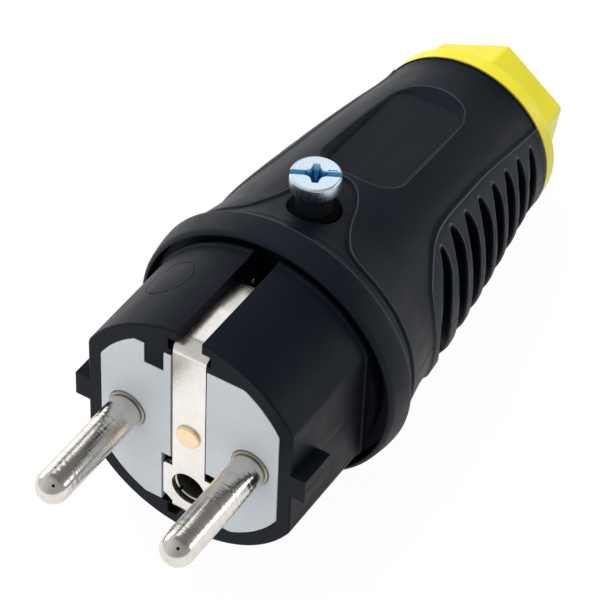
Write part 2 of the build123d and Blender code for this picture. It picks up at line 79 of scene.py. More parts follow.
def ramp(d, w, r):
    """0 to 1 as d goes from -w/2 to w/2, a straight slope with rounded foot and crest."""
    return (soft_pos(d + w / 2, r) - soft_pos(d - w / 2, r)) / w


def smin(a, b, k):
    h = np.maximum(k - np.abs(a - b), 0) / k
    return np.minimum(a, b) - h * h * k / 4


def smax(a, b, k):
    return -smin(-a, -b, k)


def catmull(pts, n=12):
    """Dense points of a smooth curve through pts."""
    p = np.asarray(pts, float)
    p = np.vstack([2 * p[0] - p[1], p, 2 * p[-1] - p[-2]])
    out = []
    for i in range(1, len(p) - 2):
        t = np.linspace(0, 1, n, endpoint=False)[:, None]
        a, b, c, d = p[i - 1], p[i], p[i + 1], p[i + 2]
        out.append(0.5 * (2 * b + (c - a) * t + (2 * a - 5 * b + 4 * c - d) * t ** 2 + (3 * b - a - 3 * c + d) * t ** 3))
    out.append(p[-2][None])
    return np.vstack(out)


def rounded(pts, radii, closed=True, seg=5):
    """A polygon's outline with arcs of these radii at its corners."""
    p = np.asarray(pts, float)
    n = len(p)
    out = []
    for i in range(n):
        r = radii[i] if hasattr(radii, "__len__") else radii
        if r <= 0 or (not closed and i in (0, n - 1)):
            out.append(p[i])
            continue
        a, b, c = p[i - 1], p[i], p[(i + 1) % n]
        u, v = (a - b) / np.linalg.norm(a - b), (c - b) / np.linalg.norm(c - b)
        half = math.acos(max(-1, min(1, float(u @ v)))) / 2
        if abs(half - math.pi / 2) < 1e-3:
            out.append(b)
            continue
        cut = r / math.tan(half)
        centre = b + (u + v) / np.linalg.norm(u + v) * (r / math.sin(half))
        s, e = b + u * cut - centre, b + v * cut - centre
        turn = math.atan2(s[0] * e[1] - s[1] * e[0], s @ e)
        for k in range(seg + 1):
            q = turn * k / seg
            out.append(centre + np.array([s[0] * math.cos(q) - s[1] * math.sin(q), s[0] * math.sin(q) + s[1] * math.cos(q)]))
    return np.array(out)


# ------------------------------------------------------------------ mesh building
def raw(name, verts, faces):
    me = bpy.data.meshes.new(name)
    me.from_pydata([tuple(map(float, v)) for v in verts], [], [tuple(map(int, f)) for f in faces])
    me.update()
    ob = bpy.data.objects.new(name, me)
    bpy.context.scene.collection.objects.link(ob)
    return ob


def fix_normals(ob, merge=0.0):
    bm = bmesh.new()
    bm.from_mesh(ob.data)
    if merge:
        bmesh.ops.remove_doubles(bm, verts=bm.verts, dist=merge)
    bmesh.ops.recalc_face_normals(bm, faces=bm.faces)
    bm.to_mesh(ob.data)
    bm.free()
    return ob


def revolve(name, prof, n=96, centre=(0.0, 0.0), axis="Y"):
    """Turns the closed outline prof, points (radius, height along the axis)."""
    prof = np.asarray(prof, float)
    ang = np.arange(n) * TAU / n
    verts, faces, ring = [], [], []
    for r, h in prof:
        if r < 1e-6:
            ring.append([len(verts)] * n)
            verts.append(place(0, 0, h, centre, axis))
        else:
            ring.append(list(range(len(verts), len(verts) + n)))
            for a in ang:
                verts.append(place(r * math.cos(a), r * math.sin(a), h, centre, axis))
    m = len(prof)
    for i in range(m):
        a, b = ring[i], ring[(i + 1) % m]
        if a[0] == a[1] and b[0] == b[1]:
            continue
        for k in range(n):
            q = [a[k], a[(k + 1) % n], b[(k + 1) % n], b[k]]
            q = [v for j, v in enumerate(q) if v != q[j - 1]]
            if len(q) > 2:
                faces.append(q)
    return fix_normals(raw(name, verts, faces))


def place(u, v, h, centre, axis):
    if axis == "Y":
        return (centre[0] + u, h, centre[1] + v)
    return (centre[0] + u, centre[1] + v, h)


def loft(name, rings, axis="Y"):
    """Skins outlines of equal length, each (points (u, v), height), and closes both ends."""
    verts, faces = [], []
    n = len(rings[0][0])
    for pts, h in rings:
        for u, v in pts:
            verts.append(place(u, v, h, (0, 0), axis))
    for i in range(len(rings) - 1):
        for k in range(n):
            a, b = i * n + k, i * n + (k + 1) % n
            faces.append((a, b, b + n, a + n))
    faces.append(tuple(range(n)))
    faces.append(tuple(range((len(rings) - 1) * n, len(rings) * n)))
    return fix_normals(raw(name, verts, faces))


def prism(name, pts, h0, h1, axis="Y"):
    return loft(name, [(pts, h0), (pts, h1)], axis)


def box(name, x0, x1, y0, y1, z0, z1):
    return prism(name, [(x0, z0), (x1, z0), (x1, z1), (x0, z1)], y0, y1)


def cyl(name, r, h0, h1, centre=(0, 0), axis="Y", n=64, turn=0.0):
    a = np.arange(n) * TAU / n + turn
    return prism(name, np.c_[centre[0] + r * np.cos(a), centre[1] + r * np.sin(a)], h0, h1, axis)


def taken(ob):
    """The object's mesh with its modifiers applied."""
    dg = bpy.context.evaluated_depsgraph_get()
    me = bpy.data.meshes.new_from_object(ob.evaluated_get(dg))
    old = ob.data
    ob.modifiers.clear()
    ob.data = me
    bpy.data.meshes.remove(old)
    return ob


def cut(ob, *tools, op="DIFFERENCE"):
    for t in tools:
        m = ob.modifiers.new("b", "BOOLEAN")
        m.operation = op
        m.solver = "EXACT"
        m.object = t
        taken(ob)
        me = t.data
        bpy.data.objects.remove(t)
        bpy.data.meshes.remove(me)
    return ob


def join_up(ob, *parts):
    return cut(ob, *parts, op="UNION")


def bevel(ob, width, seg=3, angle=28.0, clamp=True, harden=True):
    bm = bmesh.new()
    bm.from_mesh(ob.data)
    bmesh.ops.remove_doubles(bm, verts=bm.verts, dist=0.004)
    bmesh.ops.dissolve_limit(bm, angle_limit=math.radians(0.3), verts=bm.verts, edges=bm.edges)
    bm.to_mesh(ob.data)
    bm.free()
    m = ob.modifiers.new("bevel", "BEVEL")
    m.width = width
    m.segments = seg
    m.limit_method = "ANGLE"
    m.angle_limit = math.radians(angle)
    m.use_clamp_overlap = clamp
    m.miter_outer = "MITER_ARC"
    return taken(ob)


def piece(ob, body, node, material, sharp=38.0, weighted=True):
    """Turns a model in millimetres into the piece that stands for a CAD node."""
    ob.data.transform(Matrix.Scale(MM, 4))
    me = ob.data
    me.polygons.foreach_set("use_smooth", [True] * len(me.polygons))
    if sharp is not None:
        me.set_sharp_from_angle(angle=math.radians(sharp))
    if weighted:
        w = ob.modifiers.new("weighted", "WEIGHTED_NORMAL")
        w.mode = "FACE_AREA"
        w.weight = 90
        w.keep_sharp = True
    me.materials.clear()
    me.materials.append(material)
    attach(ob, body)
    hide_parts(node)
    return ob


# ------------------------------------------------------------------ materials
class Paint:
    """A Principled material that is built up node by node. Coordinates are in millimetres on the piece."""

    def __init__(self, name, color, rough, metallic=0.0, spec=0.5, **extra):
        self.m = bpy.data.materials.new(name)
        self.m.use_nodes = True
        self.t = self.m.node_tree
        self.b = next(n for n in self.t.nodes if n.type == "BSDF_PRINCIPLED")
        self.b.inputs["Base Color"].default_value = (*color, 1)
        self.b.inputs["Roughness"].default_value = rough
        self.b.inputs["Metallic"].default_value = metallic
        self.b.inputs["Specular IOR Level"].default_value = spec
        for k, v in extra.items():
            self.b.inputs[k.replace("_", " ")].default_value = v
        tc = self.node("ShaderNodeTexCoord")
        mp = self.node("ShaderNodeMapping")
        mp.inputs["Scale"].default_value = (1 / MM, 1 / MM, 1 / MM)
        self.link(tc.outputs["Object"], mp.inputs["Vector"])
        self.mm = mp.outputs["Vector"]
        self.height = None

    def node(self, kind):
        return self.t.nodes.new(kind)

    def link(self, a, b):
        self.t.links.new(a, b)

    def stretched(self, scale):
        mp = self.node("ShaderNodeMapping")
        mp.inputs["Scale"].default_value = scale
        self.link(self.mm, mp.inputs["Vector"])
        return mp.outputs["Vector"]

    def noise(self, per_mm, detail=3.0, rough=0.55, scale=None, distortion=0.0):
        n = self.node("ShaderNodeTexNoise")
        n.inputs["Scale"].default_value = per_mm
        n.inputs["Detail"].default_value = detail
        n.inputs["Roughness"].default_value = rough
        n.inputs["Distortion"].default_value = distortion
        self.link(self.stretched(scale) if scale else self.mm, n.inputs["Vector"])
        return n.outputs["Fac"]

    def spread(self, v, a, b, lo=0.0, hi=1.0, smooth=False):
        """v from a..b to lo..hi."""
        n = self.node("ShaderNodeMapRange")
        if smooth:
            n.interpolation_type = "SMOOTHSTEP"
        for k, x in (("From Min", a), ("From Max", b), ("To Min", lo), ("To Max", hi)):
            n.inputs[k].default_value = x
        self.link(v, n.inputs["Value"])
        return n.outputs["Result"]

    def math(self, op, a, b=None):
        n = self.node("ShaderNodeMath")
        n.operation = op
        for k, x in enumerate((a, b)):
            if x is None:
                continue
            if isinstance(x, (int, float)):
                n.inputs[k].default_value = x
            else:
                self.link(x, n.inputs[k])
        return n.outputs[0]

    def mix(self, f, a, b):
        n = self.node("ShaderNodeMix")
        n.data_type = "RGBA"
        if isinstance(f, (int, float)):
            n.inputs["Factor"].default_value = f
        else:
            self.link(f, n.inputs["Factor"])
        for s, c in ((n.inputs[6], a), (n.inputs[7], b)):
            if isinstance(c, tuple):
                s.default_value = (*c, 1)
            else:
                self.link(c, s)
        return n.outputs[2]

    def part(self, k):
        n = self.node("ShaderNodeSeparateXYZ")
        self.link(self.mm, n.inputs[0])
        return n.outputs[k]

    def edge(self, a, b):
        """0 on flats, 1 on the sharpest outer edges."""
        g = self.node("ShaderNodeNewGeometry")
        return self.spread(g.outputs["Pointiness"], a, b)

    def color(self, c):
        self.link(c, self.b.inputs["Base Color"])

    def rough(self, v):
        self.link(v, self.b.inputs["Roughness"])

    def bump(self, v, depth_mm, strength=1.0):
        n = self.node("ShaderNodeBump")
        n.inputs["Strength"].default_value = strength
        n.inputs["Distance"].default_value = depth_mm * MM
        self.link(v, n.inputs["Height"])
        if self.height is not None:
            self.link(self.height, n.inputs["Normal"])
        self.height = n.outputs["Normal"]
        self.link(self.height, self.b.inputs["Normal"])


def black_plastic(name, base, light, rough, grain, grain_depth, spec=0.5, lines=False):
    p = Paint(name, base, rough, spec=spec)
    p.b.inputs["Specular Tint"].default_value = (0.84, 0.94, 1.0, 1)
    cloud = p.noise(0.12, 3)
    speck = p.noise(grain, 2, 0.6)
    flow = p.noise(0.5, 4, 0.6, scale=(1, 0.25, 1))
    c = p.mix(p.spread(cloud, 0.35, 0.7), base, tuple(x * 1.25 for x in base))
    c = p.mix(p.spread(speck, 0.6, 0.85, 0, 0.5), c, light)
    if lines:
        # the housing carries its distance from each crest, so the painted highlights along its edges and the painted
        # shade in its grooves stay fine at any mesh size
        def of(what):
            n = p.node("ShaderNodeAttribute")
            n.attribute_name = what
            return n.outputs["Fac"]

        def stripe(v, mid, half, top=1.0):
            return p.spread(p.math("ABSOLUTE", p.math("SUBTRACT", v, mid)), half, half * 0.3, 0.0, top)
        groove = of("groove")
        # painted highlights: lighter stripes along the crests of the tongue's step, the raised panel, the sunk panel's
        # edge and the ribs, and along the collar's ridge at y 22.05
        crest = p.math("MAXIMUM", stripe(of("tongue"), 0.0, 0.11), stripe(of("panel"), 0.0, 0.16, 0.55))
        crest = p.math("MAXIMUM", crest, stripe(of("sunk"), 0.03, 0.09, 0.9))
        crest = p.math("MAXIMUM", crest, stripe(groove, -0.05, 0.26, 1.0))
        crest = p.math("MAXIMUM", crest, stripe(p.part(1), 22.05, 0.10, 0.9))
        crest = p.math("MULTIPLY", crest, p.spread(flow, 0.3, 0.75, 0.55, 1.0))
        c = p.mix(crest, c, tuple(x * 3.6 for x in light))
        # painted highlights: brighter stripes along the rims of the grooves and of the raised panel
        rim = p.math("MAXIMUM", stripe(groove, -0.04, 0.17), stripe(of("panel"), -0.03, 0.13, 0.8))
        c = p.mix(p.math("MULTIPLY", rim, p.spread(flow, 0.3, 0.7, 0.45, 0.9)), c, tuple(x * 6.0 for x in light))
        # painted shade: the grooves, the creases and the foot of the tongue's step are made darker and almost without
        # specular
        painted_shade = p.math("MAXIMUM", p.spread(groove, 0.06, 0.5), p.edge(0.493, 0.455))
        painted_shade = p.math("MAXIMUM", painted_shade, stripe(of("tongue"), -0.42, 0.30, 0.5))
        p.color(p.mix(painted_shade, c, tuple(x * 0.2 for x in base)))
        p.link(p.spread(painted_shade, 0, 1, spec, 0.02), p.b.inputs["Specular IOR Level"])
    else:
        p.color(c)
    r = p.math("ADD", p.spread(flow, 0.3, 0.7, -0.05, 0.05), p.spread(speck, 0.3, 0.7, -0.04, 0.04))
    r = p.math("ADD", r, p.spread(cloud, 0.3, 0.7, rough - 0.03, rough + 0.03))
    p.rough(r)
    p.bump(speck, grain_depth)
    p.bump(p.noise(0.35, 2), 0.02)
    return p


def finish_plastics():
    out = {}
    out["shell"] = black_plastic("shell_black_satin", (0.0030, 0.0042, 0.0072), (0.012, 0.014, 0.019), 0.46, 7.0, 0.008, 0.10).m
    # the housing's material adds painted highlights on its crests and painted shade in its grooves to the grain
    out["housing"] = black_plastic("housing_black_grain_and_painted_light", (0.0032, 0.0044, 0.0074), (0.012, 0.014, 0.019), 0.48, 8.0, 0.012, 0.16, lines=True).m

    p = Paint("plate_grey_moulded", (0.45, 0.48, 0.51), 0.40, spec=0.45)
    cloud, flow, speck = p.noise(0.15, 3), p.noise(0.6, 4, 0.6), p.noise(9, 2)
    c = p.mix(p.spread(cloud, 0.3, 0.7), (0.435, 0.468, 0.498), (0.465, 0.495, 0.522))
    c = p.mix(p.spread(flow, 0.55, 0.8, 0, 0.35), c, (0.405, 0.437, 0.465))
    # painted shade: behind its front face, in the holes, notch, channel and gaps, the plate turns almost black
    p.color(p.mix(p.spread(p.part(1), 0.3, 1.0), c, (0.018, 0.02, 0.024)))
    p.rough(p.math("ADD", p.spread(flow, 0.3, 0.7, 0.33, 0.42), p.spread(speck, 0.3, 0.7, -0.03, 0.03)))
    p.bump(speck, 0.006)
    p.bump(flow, 0.02)
    out["plate"] = p.m

    p = Paint("nut_yellow_satin", (0.62, 0.55, 0.02), 0.36, spec=0.4)
    cloud, flow, speck = p.noise(0.12, 3), p.noise(0.5, 4, 0.6, scale=(1, 0.4, 1)), p.noise(8, 2)
    c = p.mix(p.spread(cloud, 0.3, 0.7), (0.60, 0.535, 0.016), (0.66, 0.59, 0.024))
    c = p.mix(p.spread(flow, 0.6, 0.85, 0, 0.3), c, (0.53, 0.47, 0.012))
    p.color(c)
    p.rough(p.math("ADD", p.spread(flow, 0.3, 0.7, 0.29, 0.38), p.spread(speck, 0.3, 0.7, -0.03, 0.03)))
    p.bump(speck, 0.006)
    p.bump(flow, 0.02)
    out["nut"] = p.m

    p = Paint("cage_grey_moulded", (0.35, 0.36, 0.37), 0.45)
    flow = p.noise(0.5, 4)
    p.color(p.mix(p.spread(flow, 0.3, 0.7), (0.32, 0.33, 0.34), (0.39, 0.40, 0.41)))
    p.rough(p.spread(flow, 0.3, 0.7, 0.4, 0.52))
    p.bump(p.noise(7, 2), 0.01)
    out["cage"] = p.m

    p = Paint("seal_rubber_moulded", (0.03, 0.03, 0.03), 0.6, spec=0.4)
    flow = p.noise(0.6, 4)
    p.color(p.mix(p.spread(flow, 0.3, 0.7), (0.022, 0.022, 0.023), (0.045, 0.045, 0.045)))
    p.rough(p.spread(flow, 0.3, 0.7, 0.52, 0.7))
    p.bump(p.noise(5, 3), 0.02)
    out["rubber"] = p.m
    return out


def finish_metals():
    out = {}
    # turned nickel: rings left by the lathe tool, run along the pin's axis
    p = Paint("pin_nickel_turned", (0.72, 0.69, 0.64), 0.16, metallic=1.0)
    turn = p.noise(1.9, 2, 0.6, scale=(0.04, 1.0, 0.04))
    fine = p.noise(6.0, 3, 0.75, scale=(0.12, 1.0, 0.12))
    cloud = p.noise(0.5, 4)
    c = p.mix(p.spread(cloud, 0.3, 0.7), (0.63, 0.595, 0.545), (0.75, 0.715, 0.665))
    c = p.mix(p.spread(turn, 0.56, 0.72, 0, 0.45), c, (0.46, 0.435, 0.39))
    # the foot is a duller ring, and the lathe's centre mark at the tip is dark
    y = p.part(1)
    c = p.mix(p.spread(y, -0.75, -0.55), c, (0.36, 0.335, 0.29))
    across = p.math("SUBTRACT", p.math("ABSOLUTE", p.part(0)), 9.5)
    away = p.math("SQRT", p.math("ADD", p.math("MULTIPLY", across, across), p.math("MULTIPLY", p.part(2), p.part(2))))
    mark = p.math("MULTIPLY", p.spread(away, 0.2, 0.1), p.spread(y, -17.5, -18.2))
    p.color(p.mix(p.math("MULTIPLY", mark, 0.35), c, (0.3, 0.28, 0.25)))
    # the dome was polished after turning
    dome = p.spread(y, -17.4, -15.6, 0.12, 1.0)
    r = p.math("ADD", p.spread(turn, 0.3, 0.7, 0.08, 0.20), p.spread(cloud, 0.3, 0.7, -0.03, 0.03))
    r = p.math("MULTIPLY", r, p.spread(dome, 0.12, 1.0, 0.6, 1.0))
    p.rough(p.math("ADD", r, p.spread(y, -0.75, -0.55, 0, 0.22)))
    p.bump(p.math("MULTIPLY", turn, dome), 0.05)
    p.bump(p.math("MULTIPLY", fine, dome), 0.012)
    out["pin"] = p.m

    p = Paint("strip_nickel_sheet", (0.80, 0.77, 0.73), 0.30, metallic=1.0)
    brush = p.noise(5.0, 5, 0.7, scale=(1.0, 0.05, 0.05))
    cloud = p.noise(0.35, 4)
    c = p.mix(p.spread(cloud, 0.3, 0.7), (0.77, 0.735, 0.69), (0.86, 0.83, 0.79))
    p.color(p.mix(p.spread(brush, 0.55, 0.8, 0, 0.14), c, (0.62, 0.58, 0.54)))
    p.rough(p.math("ADD", p.spread(brush, 0.3, 0.7, 0.24, 0.32), p.spread(cloud, 0.3, 0.7, -0.04, 0.05)))
    p.bump(brush, 0.0015)
    p.bump(cloud, 0.02)
    out["strip"] = p.m

    p = Paint("rivet_copper_peened", (0.95, 0.70, 0.46), 0.42, metallic=0.85)
    dent = p.noise(1.6, 4, 0.6)
    fine = p.noise(7, 3)
    c = p.mix(p.spread(dent, 0.35, 0.7), (0.93, 0.66, 0.41), (0.98, 0.79, 0.56))
    p.color(p.mix(p.spread(fine, 0.6, 0.8, 0, 0.3), c, (0.80, 0.50, 0.28)))
    p.rough(p.spread(fine, 0.3, 0.7, 0.34, 0.5))
    p.bump(dent, 0.05)
    p.bump(fine, 0.008)
    out["rivet"] = p.m

    p = Paint("screw_blue_zinc", (0.80, 0.88, 0.94), 0.26, metallic=1.0)
    mottle = p.noise(1.6, 4, 0.6)
    fine = p.noise(9, 3)
    z = p.part(2)
    deep = p.spread(z, 23.72, 23.35)
    c = p.mix(p.spread(mottle, 0.35, 0.7), (0.50, 0.60, 0.70), (0.60, 0.69, 0.78))
    c = p.mix(p.spread(fine, 0.6, 0.85, 0, 0.25), c, (0.58, 0.68, 0.76))
    # the zinc's top has a paler, milky bloom
    p.link(p.math("MULTIPLY", p.spread(z, 23.45, 23.76, 1.0, 0.80), p.spread(z, 21.45, 21.72, 0.35, 1.0)), p.b.inputs["Metallic"])
    rec = p.node("ShaderNodeVectorMath")
    rec.operation = "LENGTH"
    off = p.node("ShaderNodeVectorMath")
    off.operation = "SUBTRACT"
    off.inputs[1].default_value = (0.0, 29.5, 0.0)
    flat = p.node("ShaderNodeVectorMath")
    flat.operation = "MULTIPLY"
    flat.inputs[1].default_value = (1.0, 1.0, 0.0)
    p.link(p.mm, off.inputs[0])
    p.link(off.outputs[0], flat.inputs[0])
    p.link(flat.outputs[0], rec.inputs[0])
    inner = p.spread(rec.outputs["Value"], 3.40, 3.25)
    # blue zinc in the slot and cross, painted darker deeper down as shade
    blue = p.mix(p.spread(z, 23.12, 22.7), (0.30, 0.66, 0.86), (0.06, 0.30, 0.52))
    recess = p.math("MAXIMUM", p.spread(rec.outputs["Value"], 2.3, 2.2), p.spread(z, 22.14, 22.24))
    # painted shade: below its top face the head, with the slot and cross, is a darker grey than the top
    c = p.mix(p.math("MULTIPLY", deep, p.spread(mottle, 0.3, 0.7, 0.6, 0.9)), c, (0.46, 0.53, 0.60))
    # painted shade: below the head, in the hole, the screw is almost black
    c = p.mix(p.spread(z, 21.72, 21.45), c, (0.012, 0.017, 0.022))
    inside = p.math("MULTIPLY", p.math("MULTIPLY", deep, inner), p.spread(z, 21.60, 21.75))
    p.color(p.mix(p.math("MULTIPLY", inside, recess), c, blue))
    # painted shade: almost no specular below the head, in the hole
    p.link(p.spread(z, 21.72, 21.45, 0.5, 0.06), p.b.inputs["Specular IOR Level"])
    p.rough(p.math("ADD", p.spread(mottle, 0.3, 0.7, 0.22, 0.32), p.spread(fine, 0.3, 0.7, -0.02, 0.02)))
    p.bump(mottle, 0.003)
    p.bump(fine, 0.001)
    out["screw"] = p.m

    p = Paint("clamp_screw_zinc", (0.70, 0.76, 0.80), 0.3, metallic=1.0)
    mottle = p.noise(1.5, 4)
    p.color(p.mix(p.spread(mottle, 0.3, 0.7), (0.64, 0.70, 0.74), (0.78, 0.83, 0.86)))
    p.rough(p.spread(mottle, 0.3, 0.7, 0.22, 0.4))
    p.bump(p.noise(8, 3), 0.006)
    out["small_screw"] = p.m

    p = Paint("brass_machined", (0.72, 0.55, 0.28), 0.3, metallic=1.0)
    turn = p.noise(3.0, 4, 0.7, scale=(0.05, 1.0, 0.05))
    p.color(p.mix(p.spread(turn, 0.3, 0.7), (0.64, 0.47, 0.22), (0.80, 0.64, 0.36)))
    p.rough(p.spread(turn, 0.3, 0.7, 0.22, 0.42))
    p.bump(turn, 0.01)
    out["brass"] = p.m

    p = Paint("spring_steel_stamped", (0.56, 0.57, 0.58), 0.34, metallic=1.0)
    brush = p.noise(4.0, 4, 0.7, scale=(0.1, 1.0, 0.1))
    p.color(p.mix(p.spread(brush, 0.3, 0.7), (0.48, 0.49, 0.50), (0.64, 0.65, 0.66)))
    p.rough(p.spread(brush, 0.3, 0.7, 0.26, 0.44))
    p.bump(brush, 0.008)
    out["steel"] = p.m

    p = Paint("washer_blackened", (0.002, 0.002, 0.0025), 0.8, spec=0.03)
    flow = p.noise(1.5, 4)
    p.color(p.mix(p.spread(flow, 0.3, 0.7), (0.0012, 0.0013, 0.0016), (0.003, 0.0032, 0.0038)))
    p.rough(p.spread(flow, 0.3, 0.7, 0.72, 0.9))
    p.bump(flow, 0.01)
    out["washer"] = p.m

    p = Paint("socket_nickel_inside", (0.78, 0.75, 0.71), 0.3, metallic=1.0)
    brush = p.noise(3.0, 4, 0.7, scale=(0.1, 1.0, 0.1))
    c = p.mix(p.spread(brush, 0.3, 0.7), (0.70, 0.67, 0.63), (0.82, 0.79, 0.75))
    # painted shade: deeper in the bore, from y 1.6 to 5, the socket turns almost black
    p.color(p.mix(p.spread(p.part(1), 1.6, 5.0), c, (0.012, 0.012, 0.013)))
    p.rough(p.spread(brush, 0.3, 0.7, 0.26, 0.40))
    p.bump(brush, 0.006)
    out["socket"] = p.m
    return out


MAT = {**finish_plastics(), **finish_metals()}


# ------------------------------------------------------------------ grip housing
PROFILE = catmull([(24.0, 19.46), (25.4, 19.1), (27.6, 18.69), (30.0, 18.35), (34.0, 18.08), (39.5, 17.6), (45.0, 17.0),
                   (52.0, 16.15), (60.0, 15.0), (65.0, 14.2), (68.5, 13.77), (70.0, 13.74), (72.0, 13.74)])
SCREW = (0.0, 29.5)
HOLE_R = 3.6

# edge of the raised body towards the collar and round the screw: (arc from the top, y), right half
TONGUE = catmull([(0.0, 36.95), (1.0, 36.75), (1.95, 36.3), (2.85, 35.4), (3.55, 34.3), (4.2, 33.1), (4.75, 31.6),
                  (5.2, 30.2), (5.85, 28.6), (6.65, 27.1), (7.7, 25.9), (9.1, 25.05), (11.0, 24.65), (14.0, 24.6),
                  (20.0, 24.75), (30.0, 24.7), (45.0, 24.7), (62.0, 24.7)], 10)
# crest of the raised grip panel: (angle from the side, y), upper half
PANEL = catmull([(0.0, 31.7), (6.0, 31.75), (13.0, 31.9), (20.0, 32.3), (27.0, 33.2), (33.0, 34.8), (38.0, 36.6),
                 (41.5, 38.3), (43.8, 40.4), (44.8, 43.0), (44.6, 46.5), (44.0, 50.0), (43.1, 54.5), (41.2, 58.8),
                 (38.9, 62.4), (36.3, 66.4), (34.6, 69.6), (33.4, 73.0)], 8)
# finger grooves: y at the tip, pull to the front at mid side, angle of the tip, half widths front and rear of the middle
GROOVES = [(39.2, 4.0, 37.5, 1.15, 1.15, 0.85), (43.1, 2.75, 40.0, 1.38, 1.38, 0.0), (47.2, 2.15, 38.6, 1.38, 1.38, 0.0),
           (51.35, 1.95, 37.3, 1.38, 1.38, 0.0), (55.6, 2.1, 35.8, 1.38, 1.38, 0.0), (59.75, 2.15, 34.0, 1.38, 1.38, 0.0),
           (63.75, 1.9, 31.8, 1.35, 1.35, 0.0), (67.9, 2.0, 29.0, 1.25, 1.15, 0.0)]
GROOVE_D = 1.75
BOW_V = [18, 25, 34, 38.9, 43.1, 47.2, 60.0, 64.0, 68.0, 70.6, 71]
BOW = [0, 0, 2.2, 3.4, 2.75, 2.1, 2.1, 1.9, 1.6, 0.15, 0]


def profile(y):
    return np.interp(y, PROFILE[:, 0], PROFILE[:, 1])


def side_angle(th):
    """Angle away from the nearer side, in degrees, signed up, and 1 for the right half."""
    d = (np.degrees(th) + 90.0) % 360.0 - 90.0
    right = d <= 90.0
    return np.where(right, d, 180.0 - d), right


def bow_shape(a):
    return 0.5 * (1 + np.cos(np.pi * np.clip(np.abs(a) / 41.0, 0, 1)))


def line_distance(px, py, line, signed_by):
    """Distance from points to a polyline, times the sign that signed_by gives."""
    best = np.full(px.shape, 1e9)
    for (ax, ay), (bx, by) in zip(line[:-1], line[1:]):
        dx, dy = bx - ax, by - ay
        t = np.clip(((px - ax) * dx + (py - ay) * dy) / (dx * dx + dy * dy), 0, 1)
        best = np.minimum(best, (px - ax - t * dx) ** 2 + (py - ay - t * dy) ** 2)
    return np.sqrt(best) * signed_by


def body_radius(y):
    return profile(y) - 0.2 * sstep(26, 34, y)


def housing_radius(th, y, lines=None):
    """Outside of the grip housing behind the collar's ridge. lines takes the distances from its crests."""
    th, y = np.broadcast_arrays(np.asarray(th, float), np.asarray(y, float))
    shape = th.shape
    th, y = th.ravel(), y.ravel()
    a, right = side_angle(th)
    body = body_radius(y)
    low = body - 0.36
    r = low.copy()
    # raised body, with the lower tongue round the screw left out
    near = y < 39.0
    arc = np.abs(90.0 - ((np.degrees(th) + 90.0) % 360.0 - 90.0)) * np.pi / 180 * 18.6
    arc = np.minimum(arc, 60.0)
    edge_y = np.interp(arc, TONGUE[:, 0], TONGUE[:, 1])
    d = np.full(y.shape, 9.0)
    d[near] = line_distance(arc[near], y[near], TONGUE, np.where(y[near] > edge_y[near], 1.0, -1.0))
    w = 0.30 + 0.55 * sstep(25.2, 27.5, y) * (1 - sstep(34.5, 36.5, y) * 0.5)
    if lines is not None:
        lines["tongue"] = d - w / 2
    r += 0.36 * np.where(d > 2, 1.0, ramp(d, w, 0.09 + 0.07 * sstep(25.2, 27.5, y)))
    # raised grip panels
    up = np.abs(a)
    crest_a = np.interp(y, PANEL[:, 1], PANEL[:, 0], left=-5.0)
    scale = np.pi / 180 * 16.6
    near = (up < 52) & (y > 29)
    d = np.full(y.shape, -9.0)
    inside = (up[near] < crest_a[near]) & (y[near] > 31.7)
    d[near] = line_distance(up[near] * scale, y[near], PANEL * [scale, 1], np.where(inside, 1.0, -1.0))
    if lines is not None:
        lines["panel"] = d - 0.46
    r += 0.36 * np.where(d > 2, 1.0, ramp(d - 0.15, 0.70, 0.14))
    # finger grooves
    g = bow_shape(a)
    depth = np.zeros_like(r)
    most = np.full_like(r, -9.0)
    for tip_y, pull, tip_a, hf, hr, more in GROOVES:
        mid = tip_y - pull * g
        t = y - mid
        run = (tip_a - up) * (np.pi / 180) * profile(y)
        narrow = np.clip((run + 0.25) / 4.2, 0, 1) ** 0.5
        front = (hf + 0.12 + more * g) * narrow
        wall = np.where(t < 0, (front + t) * 2.5, ((hr + 0.34) * narrow - t) * 2.1)
        end = run * 0.8
        deep = GROOVE_D - 0.47 * (1 - sstep(36.4, 38.4, y))
        dd = smin(smin(wall, end, 0.35), deep, 0.45)
        depth = np.maximum(depth, soft_pos(dd, 0.12))
        most = np.maximum(most, dd)
    if lines is not None:
        lines["groove"] = most
    r -= depth
    # sunk panel behind the screw: planar floor, sloped walls
    s, c = np.sin(th), np.cos(th)
    top = s > 0.5
    x = np.where(top, r * c, 99.0)
    for _ in range(2):
        z = 14.9 - 0.074 * (y - 41.0)
        hw, y0, y1, cr = 5.5, 40.4, 61.0, 2.3
        qx = np.abs(x) - (hw - cr)
        qy = np.abs(y - (y0 + y1) / 2) - ((y1 - y0) / 2 - cr)
        out = np.hypot(np.maximum(qx, 0), np.maximum(qy, 0)) + np.minimum(np.maximum(qx, qy), 0) - cr
        rear = sstep(59.5, 62.0, y)
        slope = 1.0 * (1 - rear) + 0.42 * rear
        zz = z + soft_pos(out, 0.10) * slope
        sunk = np.where(top, zz / np.where(top, s, 1), 99.0)
        best = smin(r, sunk, 0.16)
        if lines is not None:
            lines["sunk"] = np.clip(sunk - r, -9, 9)
        x = np.where(top, best * c, 99.0)
    r = np.where(top, best, r)
    # fine parting line along both sides
    r -= 0.07 * np.exp(-(a * scale / 0.07) ** 2) * sstep(25.0, 25.6, y)
    return r.reshape(shape)


